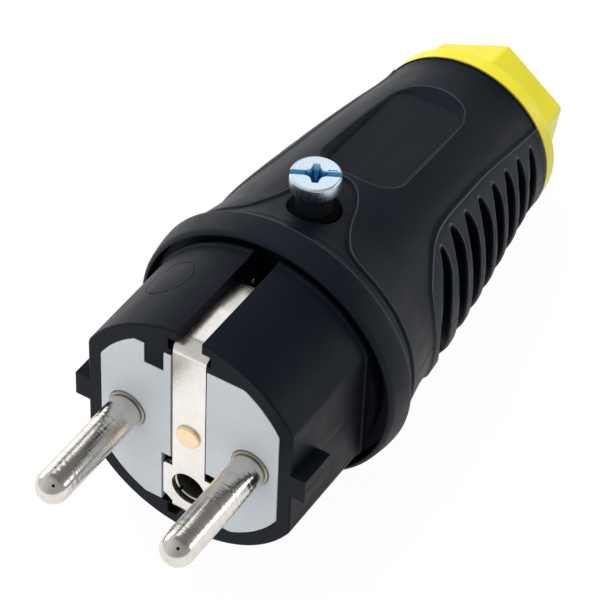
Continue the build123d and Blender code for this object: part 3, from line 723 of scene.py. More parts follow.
def row_list():
    v = []

    def run(a, b, step):
        n = max(1, round((b - a) / step))
        v.extend(a + (b - a) * k / n for k in range(n))
    run(23.0, 24.2, 0.2)
    run(24.2, 25.3, 0.085)
    run(25.3, 25.6, 0.15)
    run(25.6, 30.0, 0.24)
    run(30.0, 37.2, 0.2)
    # grooves: close rows on the walls
    last = 37.2
    for tip_y, *_ in GROOVES:
        for a, b, step in ((last, tip_y - 1.55, 0.25), (tip_y - 1.55, tip_y - 0.4, 0.115), (tip_y - 0.4, tip_y + 0.4, 0.2),
                           (tip_y + 0.4, tip_y + 1.55, 0.115)):
            if b > a + 0.05:
                run(a, b, step)
        last = tip_y + 1.55
    run(last, 70.6, 0.18)
    v.append(70.6)
    return np.array(v)


def column_list():
    """Angles round the housing, close together where its edges run."""
    def spacing(deg):
        a = abs(((deg + 90) % 360) - 90)
        a = min(a, abs(180 - a)) if a > 90 else a
        upper = math.sin(math.radians(deg)) > 0
        if a < 0.6:
            return 0.075
        if a < 1.2:
            return 0.2
        if a < 24:
            return 0.62 if upper else 0.8
        if a < 47:
            return 0.30 if upper else 0.42
        if not upper:
            return 0.95
        if a < 64.5:
            return 0.50
        if a < 74.5:
            return 0.22
        return 0.44
    out, deg = [], 0.0
    while deg < 90.0 - 0.2:
        out.append(deg)
        deg += math.degrees(spacing(deg + 0.05) / 16.8)
    up = np.array(out)
    up = up * (90.0 / deg)
    out, deg = [], 0.0
    while deg < 90.0 - 0.2:
        out.append(deg)
        deg += math.degrees(spacing(-deg - 0.05) / 16.8)
    down = np.array(out)
    down = down * (90.0 / deg)
    full = np.concatenate([up, [90.0], 180 - up[::-1], 180 + down[1:], [270.0], 360 - down[:0:-1]])
    return np.radians(full)


def make_housing():
    cols = column_list()
    nc = len(cols)
    # collar profile up to the ridge and down its rear slope, then the height field
    front = [(19.2, 18.0), (19.36, 18.0), (19.45, 18.02), (19.53, 18.08), (19.68, 18.27), (19.80, 18.43), (19.86, 18.55),
             (19.91, 18.75), (20.02, 19.3), (20.14, 20.0), (20.22, 20.6), (20.28, 21.2), (20.315, 21.85), (20.318, 22.02),
             (20.30, 22.10), (20.25, 22.17), (20.17, 22.25), (19.98, 22.44), (19.74, 22.71)]
    rows = row_list()
    g = bow_shape(side_angle(cols)[0])
    yy = rows[:, None] - np.interp(rows, BOW_V, BOW)[:, None] * g[None, :]
    rr = housing_radius(np.broadcast_to(cols[None, :], yy.shape), yy)
    slope = 19.50 - 0.86 * (yy - 23.0)
    rr = np.where(yy < 25.5, smax(rr, slope, 0.35), rr)
    fr = np.array(front)
    R = np.vstack([np.repeat(fr[:, :1], nc, 1), rr])
    Y = np.vstack([np.repeat(fr[:, 1:], nc, 1), yy])
    # rear lip and the inside, front again at the end
    rest = [(13.72, 70.68), (13.66, 70.78), (13.42, 70.97), (13.34, 71.0), (11.62, 71.0), (11.5, 70.93), (11.45, 70.82), (11.45, 62.0),
            (11.3, 62.0), (11.3, 51.5), (7.0, 51.5), (7.0, 50.0), (12.6, 50.0), (14.6, 36.0), (16.4, 36.0)]
    inner_block_rows = np.linspace(34.6, 24.4, 31)
    rest += [(16.4, float(y)) for y in inner_block_rows]
    rest += [(16.4, 23.45), (19.2, 23.45)]
    rs = np.array(rest)
    blk0 = len(R) + 15
    blk1 = blk0 + 30
    R = np.vstack([R, np.repeat(rs[:, :1], nc, 1)])
    Y = np.vstack([Y, np.repeat(rs[:, 1:], nc, 1)])
    nr = len(R)
    C, S = np.cos(cols), np.sin(cols)
    verts = np.stack([R * C[None, :], Y, R * S[None, :]], -1).reshape(-1, 3)
    # block of the outer skin round the screw hole
    c0 = int(np.argmin(np.abs(np.degrees(cols) - 73.2)))
    c1 = int(np.argmin(np.abs(np.degrees(cols) - 106.8)))
    nfr = len(fr)
    cand = np.where((rows > 24.7) & (rows < 34.3))[0]
    # as many rows in the outer block as in the inner one
    pick0 = int(np.argmin(np.abs(rows - 24.75))) + nfr
    pick1 = pick0 + 30
    o0, o1 = pick0, pick1
    if Y[o1, c0] < 33.6:
        o1 = int(np.argmin(np.abs(rows - 34.2))) + nfr
    faces = []
    idx = np.arange(nr * nc).reshape(nr, nc)
    for i in range(nr):
        i2 = (i + 1) % nr
        inside_outer = o0 <= i < o1
        inside_inner = blk0 <= i < blk1
        for j in range(nc):
            if (inside_outer or inside_inner) and c0 <= j < c1:
                continue
            j2 = (j + 1) % nc
            faces.append((idx[i, j], idx[i, j2], idx[i2, j2], idx[i2, j]))

    def loop(i0, i1):
        pts = [(i0, j) for j in range(c0, c1)] + [(i, c1) for i in range(i0, i1)]
        pts += [(i1, j) for j in range(c1, c0, -1)] + [(i, c0) for i in range(i1, i0, -1)]
        return [idx[i, j] for i, j in pts]
    outer, inner = loop(o0, o1), loop(blk0, blk1)
    vl = [tuple(v) for v in verts]
    rings = [outer]
    base = np.array([vl[k][:2] for k in outer])
    ang = np.arctan2(base[:, 1] - SCREW[1], base[:, 0] - SCREW[0])
    lip = 0.28
    circ = np.c_[SCREW[0] + np.cos(ang) * (HOLE_R + lip), SCREW[1] + np.sin(ang) * (HOLE_R + lip)]

    def lift(xy):
        x, y = xy[:, 0], xy[:, 1]
        z = np.sqrt(np.maximum(18.3 ** 2 - x * x, 1))
        for _ in range(4):
            th = np.arctan2(z, x)
            r = housing_radius(th, y)
            sl = 19.50 - 0.86 * (y - 23.0)
            r = np.where(y < 25.5, smax(r, sl, 0.35), r)
            z = np.sqrt(np.maximum(r * r - x * x, 1))
        return z
    for t in (0.9, 0.8, 0.7, 0.6, 0.5, 0.4, 0.3, 0.2, 0.1, 0.0):
        xy = circ * (1 - t) + base * t
        z = lift(xy)
        rings.append(list(range(len(vl), len(vl) + len(xy))))
        vl.extend((float(a), float(b), float(c)) for (a, b), c in zip(xy, z))
    ztop = lift(circ)
    for k in range(1, 5):
        q = math.pi / 2 * k / 4
        rad = HOLE_R + lip * (1 - math.sin(q))
        dz = lip * (1 - math.cos(q))
        rings.append(list(range(len(vl), len(vl) + len(ang))))
        vl.extend((SCREW[0] + math.cos(t) * rad, SCREW[1] + math.sin(t) * rad, float(zt - dz)) for t, zt in zip(ang, ztop))
    # down the wall to the inner skin
    m_in = len(inner)
    base_in = np.array([vl[k][:2] for k in inner])
    ang_in = np.arctan2(base_in[:, 1] - SCREW[1], base_in[:, 0] - SCREW[0])
    ring_in = list(range(len(vl), len(vl) + m_in))
    for t in ang_in:
        x = SCREW[0] + math.cos(t) * HOLE_R
        vl.append((x, SCREW[1] + math.sin(t) * HOLE_R, math.sqrt(16.4 ** 2 - x * x)))
    n = len(outer)
    for a, b in zip(rings[:-1], rings[1:]):
        for k in range(n):
            faces.append((a[k], a[(k + 1) % n], b[(k + 1) % n], b[k]))
    for k in range(m_in):
        faces.append((inner[k], inner[(k + 1) % m_in], ring_in[(k + 1) % m_in], ring_in[k]))
    # join the two hole rings, whose counts may differ
    last = rings[-1]

    def from_zero(ids, an):
        an = np.mod(np.asarray(an), TAU)
        o = np.argsort(an, kind="stable")
        return [ids[k] for k in o], an[o]
    A, aa = from_zero(last, ang)
    B, bb = from_zero(ring_in, ang_in)
    i = j = 0
    na, nb = len(A), len(B)
    while i < na or j < nb:
        ta = aa[i + 1] if i + 1 < na else (aa[0] + TAU if i < na else 1e9)
        tb = bb[j + 1] if j + 1 < nb else (bb[0] + TAU if j < nb else 1e9)
        if i >= na:
            ta = 1e9
        if j >= nb:
            tb = 1e9
        if ta <= tb:
            faces.append((A[i % na], A[(i + 1) % na], B[j % nb]))
            i += 1
        else:
            faces.append((A[i % na], B[(j + 1) % nb], B[j % nb]))
            j += 1
    used = np.zeros(len(vl), bool)
    for f in faces:
        used[list(f)] = True
    new = np.cumsum(used) - 1
    vl = [v for v, u in zip(vl, used) if u]
    faces = [tuple(int(new[k]) for k in f) for f in faces]
    ob = raw("grip_housing_look", vl, faces)
    P = np.array(vl)
    lines, rad = {}, np.hypot(P[:, 0], P[:, 2])
    housing_radius(np.arctan2(P[:, 2], P[:, 0]), P[:, 1], lines)
    skin = rad > np.interp(P[:, 1], [0, 36, 36.01, 50, 50.01, 80], [16.4, 16.4, 14.6, 12.6, 11.5, 11.5]) + 0.12
    skin &= P[:, 1] > 23.5
    for what, far in (("tongue", 9.0), ("panel", -9.0), ("sunk", 9.0), ("groove", -9.0)):
        at = ob.data.attributes.new(what, "FLOAT", "POINT")
        at.data.foreach_set("value", np.where(skin, lines[what], far).astype(np.float32))
    fix_normals(ob)
    return piece(ob, "plug", "grip_housing", MAT["housing"], sharp=50, weighted=False)


# ------------------------------------------------------------------ front shell
def flat_circle(r, x, off=0.0, k=0.30, angles=None, z0=None, z1=None):
    a = angles
    c, s = np.abs(np.cos(a)), np.sin(a)
    rho = np.full(a.shape, r + off)
    rho = smin(rho, (x + off) / np.maximum(c, 1e-6), k)
    if z1 is not None:
        rho = np.where(s > 0.2, smin(rho, (z1 + off) / np.maximum(s, 1e-6), k), rho)
    if z0 is not None:
        rho = np.where(s < -0.2, smin(rho, (-z0 + off) / np.maximum(-s, 1e-6), k), rho)
    return np.c_[rho * np.cos(a), rho * np.sin(a)]


def angle_list(step, corners, gaps=()):
    """Angles round an outline: a regular step, closer at corners, none near gaps. In degrees."""
    a = set(np.round(np.arange(0, 360, step), 3))
    for c in corners:
        for d in (-2.4, -1.6, -1.0, -0.5, 0, 0.5, 1.0, 1.6, 2.4):
            a.add(round((c + d) % 360, 3))
    a = sorted(v for v in a if all(abs((v - g + 180) % 360 - 180) > 1.0 for g in gaps))
    keep = [a[0]]
    for v in a[1:]:
        if v - keep[-1] > 0.35:
            keep.append(v)
    return np.radians(np.array(keep))


def make_front_shell():
    c = math.degrees(math.acos(15.65 / 18.0))
    g = math.degrees(math.acos(1.88 / 18.0))
    ang = angle_list(2.5, (c, 180 - c, 180 + c, 360 - c), (g, 180 - g, 180 + g, 360 - g))
    out = lambda o: flat_circle(18.0, 15.65, o, 0.28, ang)
    rnd = lambda r: np.c_[r * np.cos(ang), r * np.sin(ang)]
    ob = loft("front_shell_look", [
        (out(-0.30), 0.0), (out(-0.16), 0.05), (out(-0.06), 0.14), (out(0.0), 0.32), (out(0.0), 9.0), (out(0.0), 17.32),
        (out(0.17), 17.42), (out(0.25), 17.55), (out(0.25), 17.98), (out(0.17), 18.12), (out(0.0), 18.2),
        (rnd(17.2), 18.2), (rnd(17.2), 20.2), (rnd(18.9), 20.2), (rnd(19.05), 20.35), (rnd(19.05), 22.25), (rnd(18.9), 22.4),
        (rnd(16.3), 22.4), (rnd(16.3), 25.5)])
    for s in (-1, 1):
        x0, x1 = s * 15.0, s * (15.65 + 2.07)
        join_up(ob, box("rib", min(x0, x1), max(x0, x1), 0.0, 6.1, -1.9, 1.9))
    # rear arms
    def arm(name, half, z0, top):
        th = np.linspace(math.asin(-half / 16.24), math.asin(half / 16.24), 9)
        pts = [(16.24 * math.sin(t), (1 if top else -1) * 16.24 * math.cos(t)) for t in th]
        pts += [(half, z0), (-half, z0)]
        return prism(name, pts, 25.0, 34.5)
    upper = arm("arm", 5.5, 7.0, True)
    cut(upper, cyl("cb", 3.6, 13.1, 20.0, SCREW, "Z", 48), cyl("bs", 3.0, 5.0, 15.0, SCREW, "Z", 48))
    join_up(ob, upper, arm("arm2", 6.0, -12.5, False))
    # pocket for the plate with its key, room behind it
    pa = angle_list(3.0, [math.degrees(math.acos(13.73 / 15.78)) * s + o for s in (1, -1) for o in (0, 180)])
    pocket = flat_circle(15.78, 13.73, 0, 0.12, pa, -14.28, 13.38)
    pk = prism("pocket", pocket, -1.0, 8.0)
    cut(pk, box("key", -6.75, -3.9, -2.0, 9.0, 10.05, 17.0))
    ra = angle_list(5.0, ())
    cut(ob, pk, prism("room", flat_circle(14.2, 12.2, 0, 0.1, ra, -13.0, 13.0), 7.5, 26.0))
    # earth slots
    cut(ob, box("mouth", -1.88, 1.88, -1, 18.35, 14.0, 20.0), box("mouth", -1.88, 1.88, -1, 18.35, -20.0, -14.0))
    cut(ob, box("under", -3.25, 3.25, -1.1, 16.5, 14.4, 16.2), box("under", -3.25, 3.25, -1.1, 16.5, -16.2, -14.4))
    cut(ob, box("bed", -2.75, 2.75, -1.2, 1.0, 12.9, 15.1), box("bed", -2.75, 2.75, -1.2, 2.0, -15.1, -12.9))
    # the upper slot opens into the terminal room behind the strip's end
    cut(ob, box("window", -1.88, 1.88, 15.3, 20.0, 12.5, 18.6))
    bevel(ob, 0.16, 3, 32)
    # the mould's parting line, and the round mark of an ejector pin
    for s in (-1, 1):
        cut(ob, box("line", min(s * 15.59, s * 15.9), max(s * 15.59, s * 15.9), 6.2, 17.25, -0.05, 0.05),
            box("line", min(s * 17.65, s * 17.9), max(s * 17.65, s * 17.9), 0.2, 5.9, -0.05, 0.05))
    ring = cyl("ring", 3.56, 16.0, 20.0, (0, 0), "Z", 72)
    cut(ring, cyl("in", 3.44, 15.0, 21.0, (0, 0), "Z", 72))
    ring.data.transform(Matrix.Translation((0, 10.2, 0)) @ Matrix.Rotation(math.radians(-33), 4, "Y"))
    cut(ring, cyl("core", 17.92, 0.0, 20.0, n=144))
    cut(ob, ring)
    bm = bmesh.new()
    bm.from_mesh(ob.data)
    bmesh.ops.remove_doubles(bm, verts=bm.verts, dist=0.004)
    bm.to_mesh(ob.data)
    bm.free()
    return piece(ob, "plug", "front_shell", MAT["shell"], sharp=60)


# ------------------------------------------------------------------ grey plate
def make_plate():
    corners = [math.degrees(math.acos(13.65 / 15.7)) * s + o for s in (1, -1) for o in (0, 180)]
    corners += [math.degrees(math.asin(13.3 / 15.7)), 180 - math.degrees(math.asin(13.3 / 15.7)),
                -math.degrees(math.asin(14.2 / 15.7)), 180 + math.degrees(math.asin(14.2 / 15.7))]
    a = angle_list(3.0, corners, (100.0, 80.0))
    front = lambda o: flat_circle(15.7, 13.65, o, 0.10, a, -14.2, 13.3)
    back = flat_circle(14.1, 12.1, 0, 0.1, a, -12.9, 12.9)
    ob = loft("contact_plate_look", [(front(-0.22), -0.10), (front(-0.11), -0.07), (front(-0.03), 0.01), (front(0), 0.14),
                                     (front(0), 7.95), (back, 7.96), (back, 16.0)])
    cut(ob, box("notch", -6.83, -3.82, -1.0, 8.05, 9.97, 18.0), box("chan", -2.75, 2.75, -1.1, 0.9, -6.0, 17.0),
        box("ears", -4.15, 4.15, -1.2, 0.9, -15.6, -5.2), box("deep", -4.15, 4.15, -1.3, 7.0, -13.6, -5.2))
    cut(ob, cyl("h", 3.0, -2, 18, (0, -10.0), n=64), cyl("h", 2.25, -2, 18, (-9.5, 0), n=48),
        cyl("h", 2.25, -2, 18, (9.5, 0), n=48), cyl("h", 1.3, -2, 18, (0, 0), n=32), cyl("h", 3.95, 8.95, 18, (0, -10.0), n=48),
        cyl("h", 2.86, -2, 1.45, (-9.5, 0), n=64), cyl("h", 2.86, -2, 1.45, (9.5, 0), n=64))
    bevel(ob, 0.11, 2, 32)
    return piece(ob, "plug", "contact_plate", MAT["plate"], sharp=60)


# ------------------------------------------------------------------ pins
def make_pin(side):
    prof = []
    # turned tip: a polished dome
    prof += [(0.0, -19.0)]
    for k in range(1, 17):
        q = math.radians(90 * k / 16)
        prof.append((2.4 * math.sin(q), -19.0 + 2.4 * (1 - math.cos(q))))
    for k in range(1, 24):
        prof.append((2.4, -16.6 + 16.2 * k / 24))
    prof += [(2.4, -0.42), (2.46, -0.44), (2.62, -0.44), (2.73, -0.40), (2.79, -0.31), (2.8, -0.2), (2.8, 0.6), (2.8, 1.4),
             (2.2, 1.4), (2.2, 16.5), (0.0, 16.5)]
    ob = revolve(f"pin_{'right' if side > 0 else 'left'}_look", prof, 96, (side * 9.5, 0.0))
    cx = side * 9.2
    blk = box("blk", cx - 2.8, cx + 2.8, 16.05, 29.0, -5.4, 1.4)
    join_up(ob, blk)
    cut(ob, cyl("w", 1.9, 19.0, 31.0, (cx, -2.6), n=32), cyl("t", 1.5, -2.0, 3.0, (cx, 25.5), "Z", n=24))
    bm = bmesh.new()
    bm.from_mesh(ob.data)
    bmesh.ops.remove_doubles(bm, verts=bm.verts, dist=0.004)
    bm.to_mesh(ob.data)
    bm.free()
    name = "pin_right" if side > 0 else "pin_left"
    return piece(ob, "plug", name, MAT["pin"], sharp=40, weighted=False)


# ------------------------------------------------------------------ earth strip
def make_strip():
    t = 0.8
    path = rounded([(14.5, 14.92), (8.5, 15.6), (1.85, 15.6), (0.45, 14.45), (0.45, -14.45), (1.85, -15.6), (9.5, -15.6), (14.5, -15.36)],
                   [0, 6, 1.1, 1.1, 1.1, 1.1, 6, 0], closed=False, seg=6)
    # subdivide, then give each station its own width
    pts = [path[0]]
    for a, b in zip(path[:-1], path[1:]):
        n = max(1, int(np.linalg.norm(b - a) / 0.9))
        pts += [a + (b - a) * k / n for k in range(1, n + 1)]
    pts = np.array(pts)
    tan = np.gradient(pts, axis=0)
    tan /= np.linalg.norm(tan, axis=1)[:, None]
    nor = np.c_[tan[:, 1], -tan[:, 0]]
    verts, faces = [], []
    for k, (p, nn) in enumerate(zip(pts, nor)):
        y, z = p
        half = 2.5
        # the sheet is upset a little where it was bent
        bulge = math.exp(-((z - 15.05) / 0.55) ** 2) if 0.3 < y < 2.2 and z > 0 else 0.0
        half += 0.16 * bulge
        if k == 0:
            shear = 0.35
        else:
            shear = 0.0
        for s, o in ((-1, 1), (1, 1), (1, -1), (-1, -1)):
            verts.append((s * half, y + nn[0] * o * t / 2 + (shear * s if k == 0 else 0), z + nn[1] * o * t / 2))
    m = len(pts)
    for k in range(m - 1):
        for q in range(4):
            a, b = k * 4 + q, k * 4 + (q + 1) % 4
            faces.append((a, b, b + 4, a + 4))
    faces.append((0, 1, 2, 3))
    faces.append(tuple((m - 1) * 4 + q for q in range(4)))
    ob = fix_normals(raw("earth_strip_look", verts, faces))
    ears = rounded([(-3.93, -6.9), (-3.93, -12.75), (-3.35, -12.95), (-2.6, -13.6), (2.6, -13.6), (3.93, -13.1), (3.93, -6.9)],
                   [0.45, 0.35, 0.2, 0.2, 0.2, 0.4, 0.45], seg=4)
    join_up(ob, prism("ears", ears, 0.05, 0.85))
    cut(ob, cyl("hole", 2.6, -1.0, 2.0, (0, -10.0), n=72), cyl("rv", 1.3, -1.0, 2.0, (0, 0), n=32))
    bevel(ob, 0.10, 2, 32)
    return piece(ob, "plug", "earth_strip", MAT["strip"], sharp=60)


def make_rivet():
    prof = [(0.0, -0.44), (0.7, -0.435), (1.25, -0.42), (1.6, -0.39), (1.78, -0.33), (1.9, -0.22), (1.95, -0.08), (1.93, 0.04),
            (1.25, 0.04), (1.25, 17.27), (1.9, 17.27), (1.9, 17.6), (1.5, 18.0), (0, 18.0)]
    ob = revolve("earth_rivet_look", prof, 72)
    me = ob.data
    for v in me.vertices:
        if v.co.y < 0.06:
            r = math.hypot(v.co.x, v.co.z)
            a = math.atan2(v.co.z, v.co.x)
            k = 1 + 0.014 * math.sin(3 * a + 0.6) + 0.01 * math.sin(5 * a + 2.0)
            k *= 1 - 0.07 * sstep(1.0, 1.5, r)
            v.co.x *= k
            v.co.z *= k
            if r < 1.7:
                v.co.y += 0.028 * math.sin(2.1 * v.co.x + 0.7) * math.cos(1.9 * v.co.z)
    return piece(ob, "plug", "earth_rivet", MAT["rivet"], sharp=50, weighted=False)


# ------------------------------------------------------------------ closing screw
def make_screw():
    top = 23.8
    prof = [(0.0, top)]
    prof += [(r, top) for r in (0.8, 1.6, 2.4, 3.15)]
    for k in range(1, 6):
        q = math.pi / 2 * k / 5
        prof.append((3.15 + 0.3 * math.sin(q), top - 0.3 * (1 - math.cos(q))))
    prof += [(3.45, 22.75), (3.45, 22.0), (3.45, 21.76), (3.43, 21.69), (3.36, 21.65), (3.0, 21.65), (2.75, 21.65), (2.62, 21.57), (2.6, 21.4), (2.6, 20.0), (2.6, 18.2),
             (2.45, 18.0), (2.0, 18.0)]
    # the thread, drawn as close rings
    z = 17.8
    while z > 7.2:
        prof += [(2.0, z), (1.72, z - 0.31), (1.72, z - 0.39)]
        z -= 0.7
    prof += [(2.0, z), (1.6, 6.5), (0.0, 6.5)]
    ob = revolve("closing_screw_look", prof, 96, SCREW, "Z")
    # single slot and a cross recess with flared corners, as far round as the screw was left
    def turned(x, y, q=math.radians(28)):
        return SCREW[0] + x * math.cos(q) - y * math.sin(q), SCREW[1] + x * math.sin(q) + y * math.cos(q)

    def bar(name, x0, x1, y0, y1, z0):
        return prism(name, [turned(x, y) for x, y in ((x0, y0), (x1, y0), (x1, y1), (x0, y1))], z0, top + 1, "Z")
    cut(ob, bar("slot", -4.2, 4.2, -0.46, 0.46, top - 0.75))

    def cross(k):
        q = [(1.60, 0.46), (1.22, 0.53), (0.92, 0.68), (0.70, 0.92), (0.54, 1.30), (0.42, 1.87)]
        pts = q + [(-x, y) for x, y in q[::-1]] + [(-x, -y) for x, y in q] + [(x, -y) for x, y in q[::-1]]
        return [turned(x * k, y * k) for x, y in pts]
    cut(ob, loft("cross", [(cross(1.05), top + 0.3), (cross(1.0), top), (cross(0.86), top - 0.9), (cross(0.5), top - 2.0)], "Z"))
    # a burr's edge beside the slot
    cut(ob, bar("tick", 1.55, 2.75, 0.62, 0.80, top - 0.35))
    bevel(ob, 0.07, 2, 34)
    return piece(ob, "screw", "closing_screw", MAT["screw"], sharp=45)


# ------------------------------------------------------------------ gland nut
def hexagon(r, fillet, turn, seg=6):
    pts = [(r * math.cos(math.radians(turn + 60 * k)), r * math.sin(math.radians(turn + 60 * k))) for k in range(6)]
    return rounded(pts, fillet, seg=seg)


def make_nut():
    stem = [(9.3, 63.75), (11.2, 63.75), (11.4, 63.95)]
    y = 64.3
    while y < 70.2:
        stem += [(11.4, y), (10.95, y + 0.75), (10.95, y + 0.95), (11.4, y + 1.7)]
        y += 2.0
    stem += [(11.4, 71.1), (13.45, 71.1), (13.58, 71.16), (13.63, 71.3), (13.63, 73.0), (13.58, 73.2), (13.45, 73.34), (13.25, 73.4),
             (9.3, 73.4)]
    # the outline follows the rings outside and a plain bore inside
    ob = revolve("gland_nut_look", stem, 144)
    turn = 23.0
    st = [(hexagon(12.45, 1.1, turn), 73.0), (hexagon(12.33, 1.05, turn), 73.44), (hexagon(12.22, 1.0, turn), 73.75)]
    st += [(hexagon(12.22 - 0.45 * k / 4, 0.95, turn), 73.75 + 5.9 * k / 4) for k in range(1, 5)]
    st += [(hexagon(11.70, 0.95, turn), 79.86), (hexagon(11.58, 0.93, turn), 80.0), (hexagon(11.40, 0.9, turn), 80.08), (hexagon(11.25, 0.9, turn), 80.1)]
    join_up(ob, loft("hex", st))
    bore = revolve("bore", [(0, 63.0), (9.3, 63.0), (9.3, 74.8), (6.75, 77.05), (6.6, 77.3), (6.6, 79.75), (6.7, 79.95), (6.95, 80.1), (7.2, 80.6), (0, 80.6)], 96)
    cut(ob, bore)
    bm = bmesh.new()
    bm.from_mesh(ob.data)
    bmesh.ops.remove_doubles(bm, verts=bm.verts, dist=0.004)
    bm.to_mesh(ob.data)
    bm.free()
    return piece(ob, "nut", "gland_nut", MAT["nut"], sharp=40, weighted=True)


make_housing()
make_front_shell()
make_plate()
make_pin(-1)
make_pin(1)
make_strip()
make_rivet()
make_screw()
make_nut()

# CAD nodes that stay
def make_spring():
    ob = revolve("socket_spring_look", [(2.98, 2.2), (2.98, 5.4), (3.45, 5.4), (3.45, 2.2)], 64, (0.0, -10.0))
    cut(ob, box("gap", -0.8, 0.8, 1.0, 6.5, -14.4, -12.4))
    # its wire end curls up beside the strip's foot
    path = catmull3([(-2.30, 3.0, -7.62), (-2.75, 2.6, -7.10), (-3.35, 2.1, -6.95), (-3.80, 1.65, -6.85), (-3.88, 1.25, -6.62), (-3.62, 1.12, -6.42),
                     (-3.36, 1.22, -6.58), (-3.34, 1.42, -6.86), (-3.52, 1.50, -7.00)], 6)
    r, n = 0.17, 10
    verts, faces = [], []
    up = np.array([0.3, 1.0, 0.2])
    tan = np.gradient(path, axis=0)
    for q, t in zip(path, tan):
        t = t / np.linalg.norm(t)
        a = np.cross(t, up)
        a /= np.linalg.norm(a)
        b = np.cross(t, a)
        for k in range(n):
            w = TAU * k / n
            verts.append(tuple(q + r * (math.cos(w) * a + math.sin(w) * b)))
    for i in range(len(path) - 1):
        for k in range(n):
            faces.append((i * n + k, i * n + (k + 1) % n, (i + 1) * n + (k + 1) % n, (i + 1) * n + k))
    faces.append(tuple(range(n)))
    faces.append(tuple(range((len(path) - 1) * n, len(path) * n))[::-1])
    join_up(ob, fix_normals(raw("curl", verts, faces)))
    return piece(ob, "plug", "socket_spring", MAT["steel"], sharp=45)


def catmull3(pts, seg):
    p = np.array([pts[0]] + list(pts) + [pts[-1]], float)
    out = []
    for a, b, c, d in zip(p[:-3], p[1:-2], p[2:-1], p[3:]):
        for k in range(seg):
            t = k / seg
            out.append(0.5 * (2 * b + (c - a) * t + (2 * a - 5 * b + 4 * c - d) * t * t + (3 * b - a - 3 * c + d) * t ** 3))
    out.append(p[-1])
    return np.array(out)


make_spring()
KEEP = {
    "terminal_screw_left": "small_screw", "terminal_screw_right": "small_screw", "earth_screw": "small_screw",
    "earth_socket": "socket", "earth_terminal": "brass", "collar_seal": "rubber",
    "screw_washer": "washer", "threaded_bush": "brass", "gland_seal": "rubber", "clamp_cage": "cage", "thrust_ring": "steel",
}
for name, m in KEEP.items():
    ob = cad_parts[name]
    ob.data.materials.clear()
    ob.data.materials.append(MAT[m])


# ------------------------------------------------------------------ floor and light
def add_floor():
    # the plug lies on its collar and on the nut's flange
    n = 60
    a = Vector((0, 22.0, -20.32))
    b = Vector((0, 73.2, -13.63))
    d = (b - a).normalized()
    mid = Vector((0, 40.0, 0))
    mid.z = a.z + (mid.y - a.y) * d.z / d.y
    x = Vector((1, 0, 0))
    s = 1500.0
    verts = [mid + x * u * s + d * v * s for u, v in ((-1, -1), (1, -1), (1, 1), (-1, 1))]
    ob = raw("floor", [v * MM for v in verts], [(0, 1, 2, 3)])
    m = bpy.data.materials.new("floor_white")
    m.use_nodes = True
    t = m.node_tree
    bs = next(k for k in t.nodes if k.type == "BSDF_PRINCIPLED")
    bs.inputs["Base Color"].default_value = (0.86, 0.86, 0.86, 1)
    bs.inputs["Roughness"].default_value = 0.7
    bs.inputs["Specular IOR Level"].default_value = 0.2
    # overexposed for the camera, plain white paper for the light on the plug
    glow = t.nodes.new("ShaderNodeEmission")
    glow.inputs["Strength"].default_value = 1.0
    lp = t.nodes.new("ShaderNodeLightPath")
    part = t.nodes.new("ShaderNodeMath")
    part.operation = "MULTIPLY"
    part.inputs[1].default_value = 0.97
    mix = t.nodes.new("ShaderNodeMixShader")
    out = next(k for k in t.nodes if k.type == "OUTPUT_MATERIAL")
    t.links.new(lp.outputs["Is Camera Ray"], part.inputs[0])
    gloss = t.nodes.new("ShaderNodeMath")
    gloss.operation = "MULTIPLY_ADD"
    gloss.inputs[1].default_value = 0.5
    t.links.new(lp.outputs["Is Glossy Ray"], gloss.inputs[0])
    t.links.new(part.outputs[0], gloss.inputs[2])
    t.links.new(gloss.outputs[0], mix.inputs[0])
    t.links.new(bs.outputs[0], mix.inputs[1])
    t.links.new(glow.outputs[0], mix.inputs[2])
    t.links.new(mix.outputs[0], out.inputs["Surface"])
    ob.data.materials.append(m)
    return ob


def area(name, loc, target, size, power, color=(1, 1, 1)):
    data = bpy.data.lights.new(name, "AREA")
    data.shape = "RECTANGLE"
    data.size, data.size_y = size[0] * MM, size[1] * MM
    data.energy = power
    data.color = color
    ob = bpy.data.objects.new(name, data)
    ob.location = Vector(loc) * MM
    ob.rotation_euler = (Vector(target) - Vector(loc)).to_track_quat("-Z", "Y").to_euler()
    bpy.context.scene.collection.objects.link(ob)
    return ob


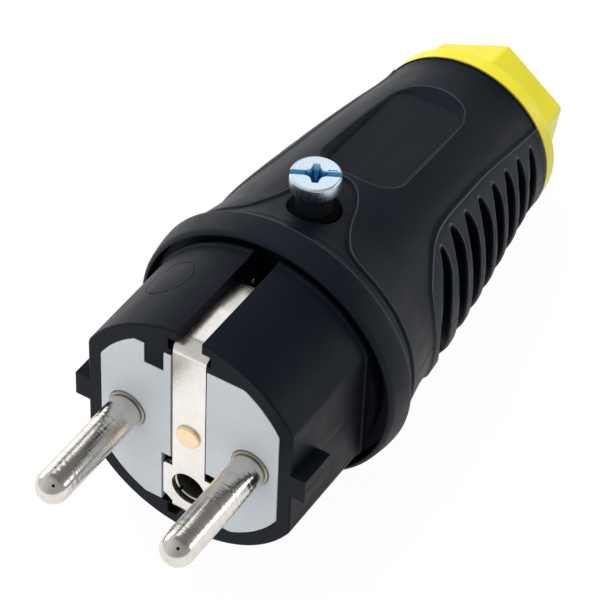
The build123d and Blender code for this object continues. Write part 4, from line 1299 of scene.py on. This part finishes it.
def add_light():
    world = bpy.data.worlds.new("studio")
    bpy.context.scene.world = world
    world.use_nodes = True
    t = world.node_tree
    t.nodes.clear()
    out = t.nodes.new("ShaderNodeOutputWorld")
    lp = t.nodes.new("ShaderNodeLightPath")
    white = t.nodes.new("ShaderNodeBackground")
    white.inputs["Color"].default_value = (1, 1, 1, 1)
    soft = t.nodes.new("ShaderNodeBackground")
    tc = t.nodes.new("ShaderNodeTexCoord")
    sep = t.nodes.new("ShaderNodeSeparateXYZ")
    t.links.new(tc.outputs["Generated"], sep.inputs[0])

    def spread(v, a, b, lo, hi):
        n = t.nodes.new("ShaderNodeMapRange")
        n.interpolation_type = "SMOOTHSTEP"
        for k, x in (("From Min", a), ("From Max", b), ("To Min", lo), ("To Max", hi)):
            n.inputs[k].default_value = x
        t.links.new(v, n.inputs["Value"])
        return n.outputs["Result"]
    high = spread(sep.outputs[2], 0.1, 0.9, 1.0, 0.42)
    side = spread(sep.outputs[0], -0.8, 0.6, WORLD[0], WORLD[1])
    left = spread(sep.outputs[0], -0.30, -0.62, 0.0, 1.05)
    top = spread(sep.outputs[1], 0.60, -0.25, 0.0, 0.95)
    both = t.nodes.new("ShaderNodeMath")
    both.operation = "MAXIMUM"
    t.links.new(left, both.inputs[0])
    t.links.new(top, both.inputs[1])
    most = t.nodes.new("ShaderNodeMath")
    most.operation = "MAXIMUM"
    t.links.new(high, most.inputs[0])
    t.links.new(both.outputs[0], most.inputs[1])
    mul = t.nodes.new("ShaderNodeMath")
    mul.operation = "MULTIPLY"
    t.links.new(most.outputs[0], mul.inputs[0])
    t.links.new(side, mul.inputs[1])
    t.links.new(mul.outputs[0], soft.inputs["Strength"])
    mix = t.nodes.new("ShaderNodeMixShader")
    t.links.new(lp.outputs["Is Camera Ray"], mix.inputs[0])
    t.links.new(soft.outputs[0], mix.inputs[1])
    t.links.new(white.outputs[0], mix.inputs[2])
    t.links.new(mix.outputs[0], out.inputs["Surface"])
    # the power is the brightness of the lamp's face times its area and pi
    for name, loc, size, glow in LAMPS:
        lamp = area(name, loc, (0, 30, 0), size, glow * math.pi * size[0] * size[1] * MM * MM)
        lamp.visible_glossy = name not in ("ceiling", "front")


def add_cards():
    """Black cards that only bright metal shows: where the camera stands, and one to the left behind the plug."""
    m = bpy.data.materials.new("card_black")
    m.use_nodes = True
    bs = next(k for k in m.node_tree.nodes if k.type == "BSDF_PRINCIPLED")
    bs.inputs["Base Color"].default_value = (0.01, 0.01, 0.01, 1)
    bs.inputs["Roughness"].default_value = 0.9
    bs.inputs["Specular IOR Level"].default_value = 0.0
    cards = (("card_camera", (153.1, -233.9, 295.3), (74, 74), 32, 0.0), ("card_left", (-268, 320, 290), (105, 70), 4, 0.3))
    for name, loc, size, n, turn in cards:
        q = Vector(loc).to_track_quat("Z", "Y")
        ring = [(turn + (k + 0.5) * TAU / n) for k in range(n)]
        ob = raw(name, [(Vector(loc) + q @ Vector((size[0] * math.cos(t), size[1] * math.sin(t), 0))) * MM for t in ring], [tuple(range(n))])
        ob.data.materials.append(m)
        ob.visible_camera = ob.visible_shadow = ob.visible_diffuse = False


WORLD = (0.92, 0.55)
LAMPS = (("left", (-560, 160, 170), (420, 300), 1.3), ("front", (-160, -640, 200), (600, 300), 2.4),
         ("right", (500, 440, 150), (420, 200), 2.4), ("back", (-270, 500, 520), (320, 320), 1.2),
         ("ceiling", (-100, -20, 720), (800, 700), 3.6))
add_floor()
add_cards()
add_light()
scene = bpy.context.scene
scene.view_settings.view_transform = "Standard"
scene.view_settings.look = "None"

bpy.context.view_layer.update()
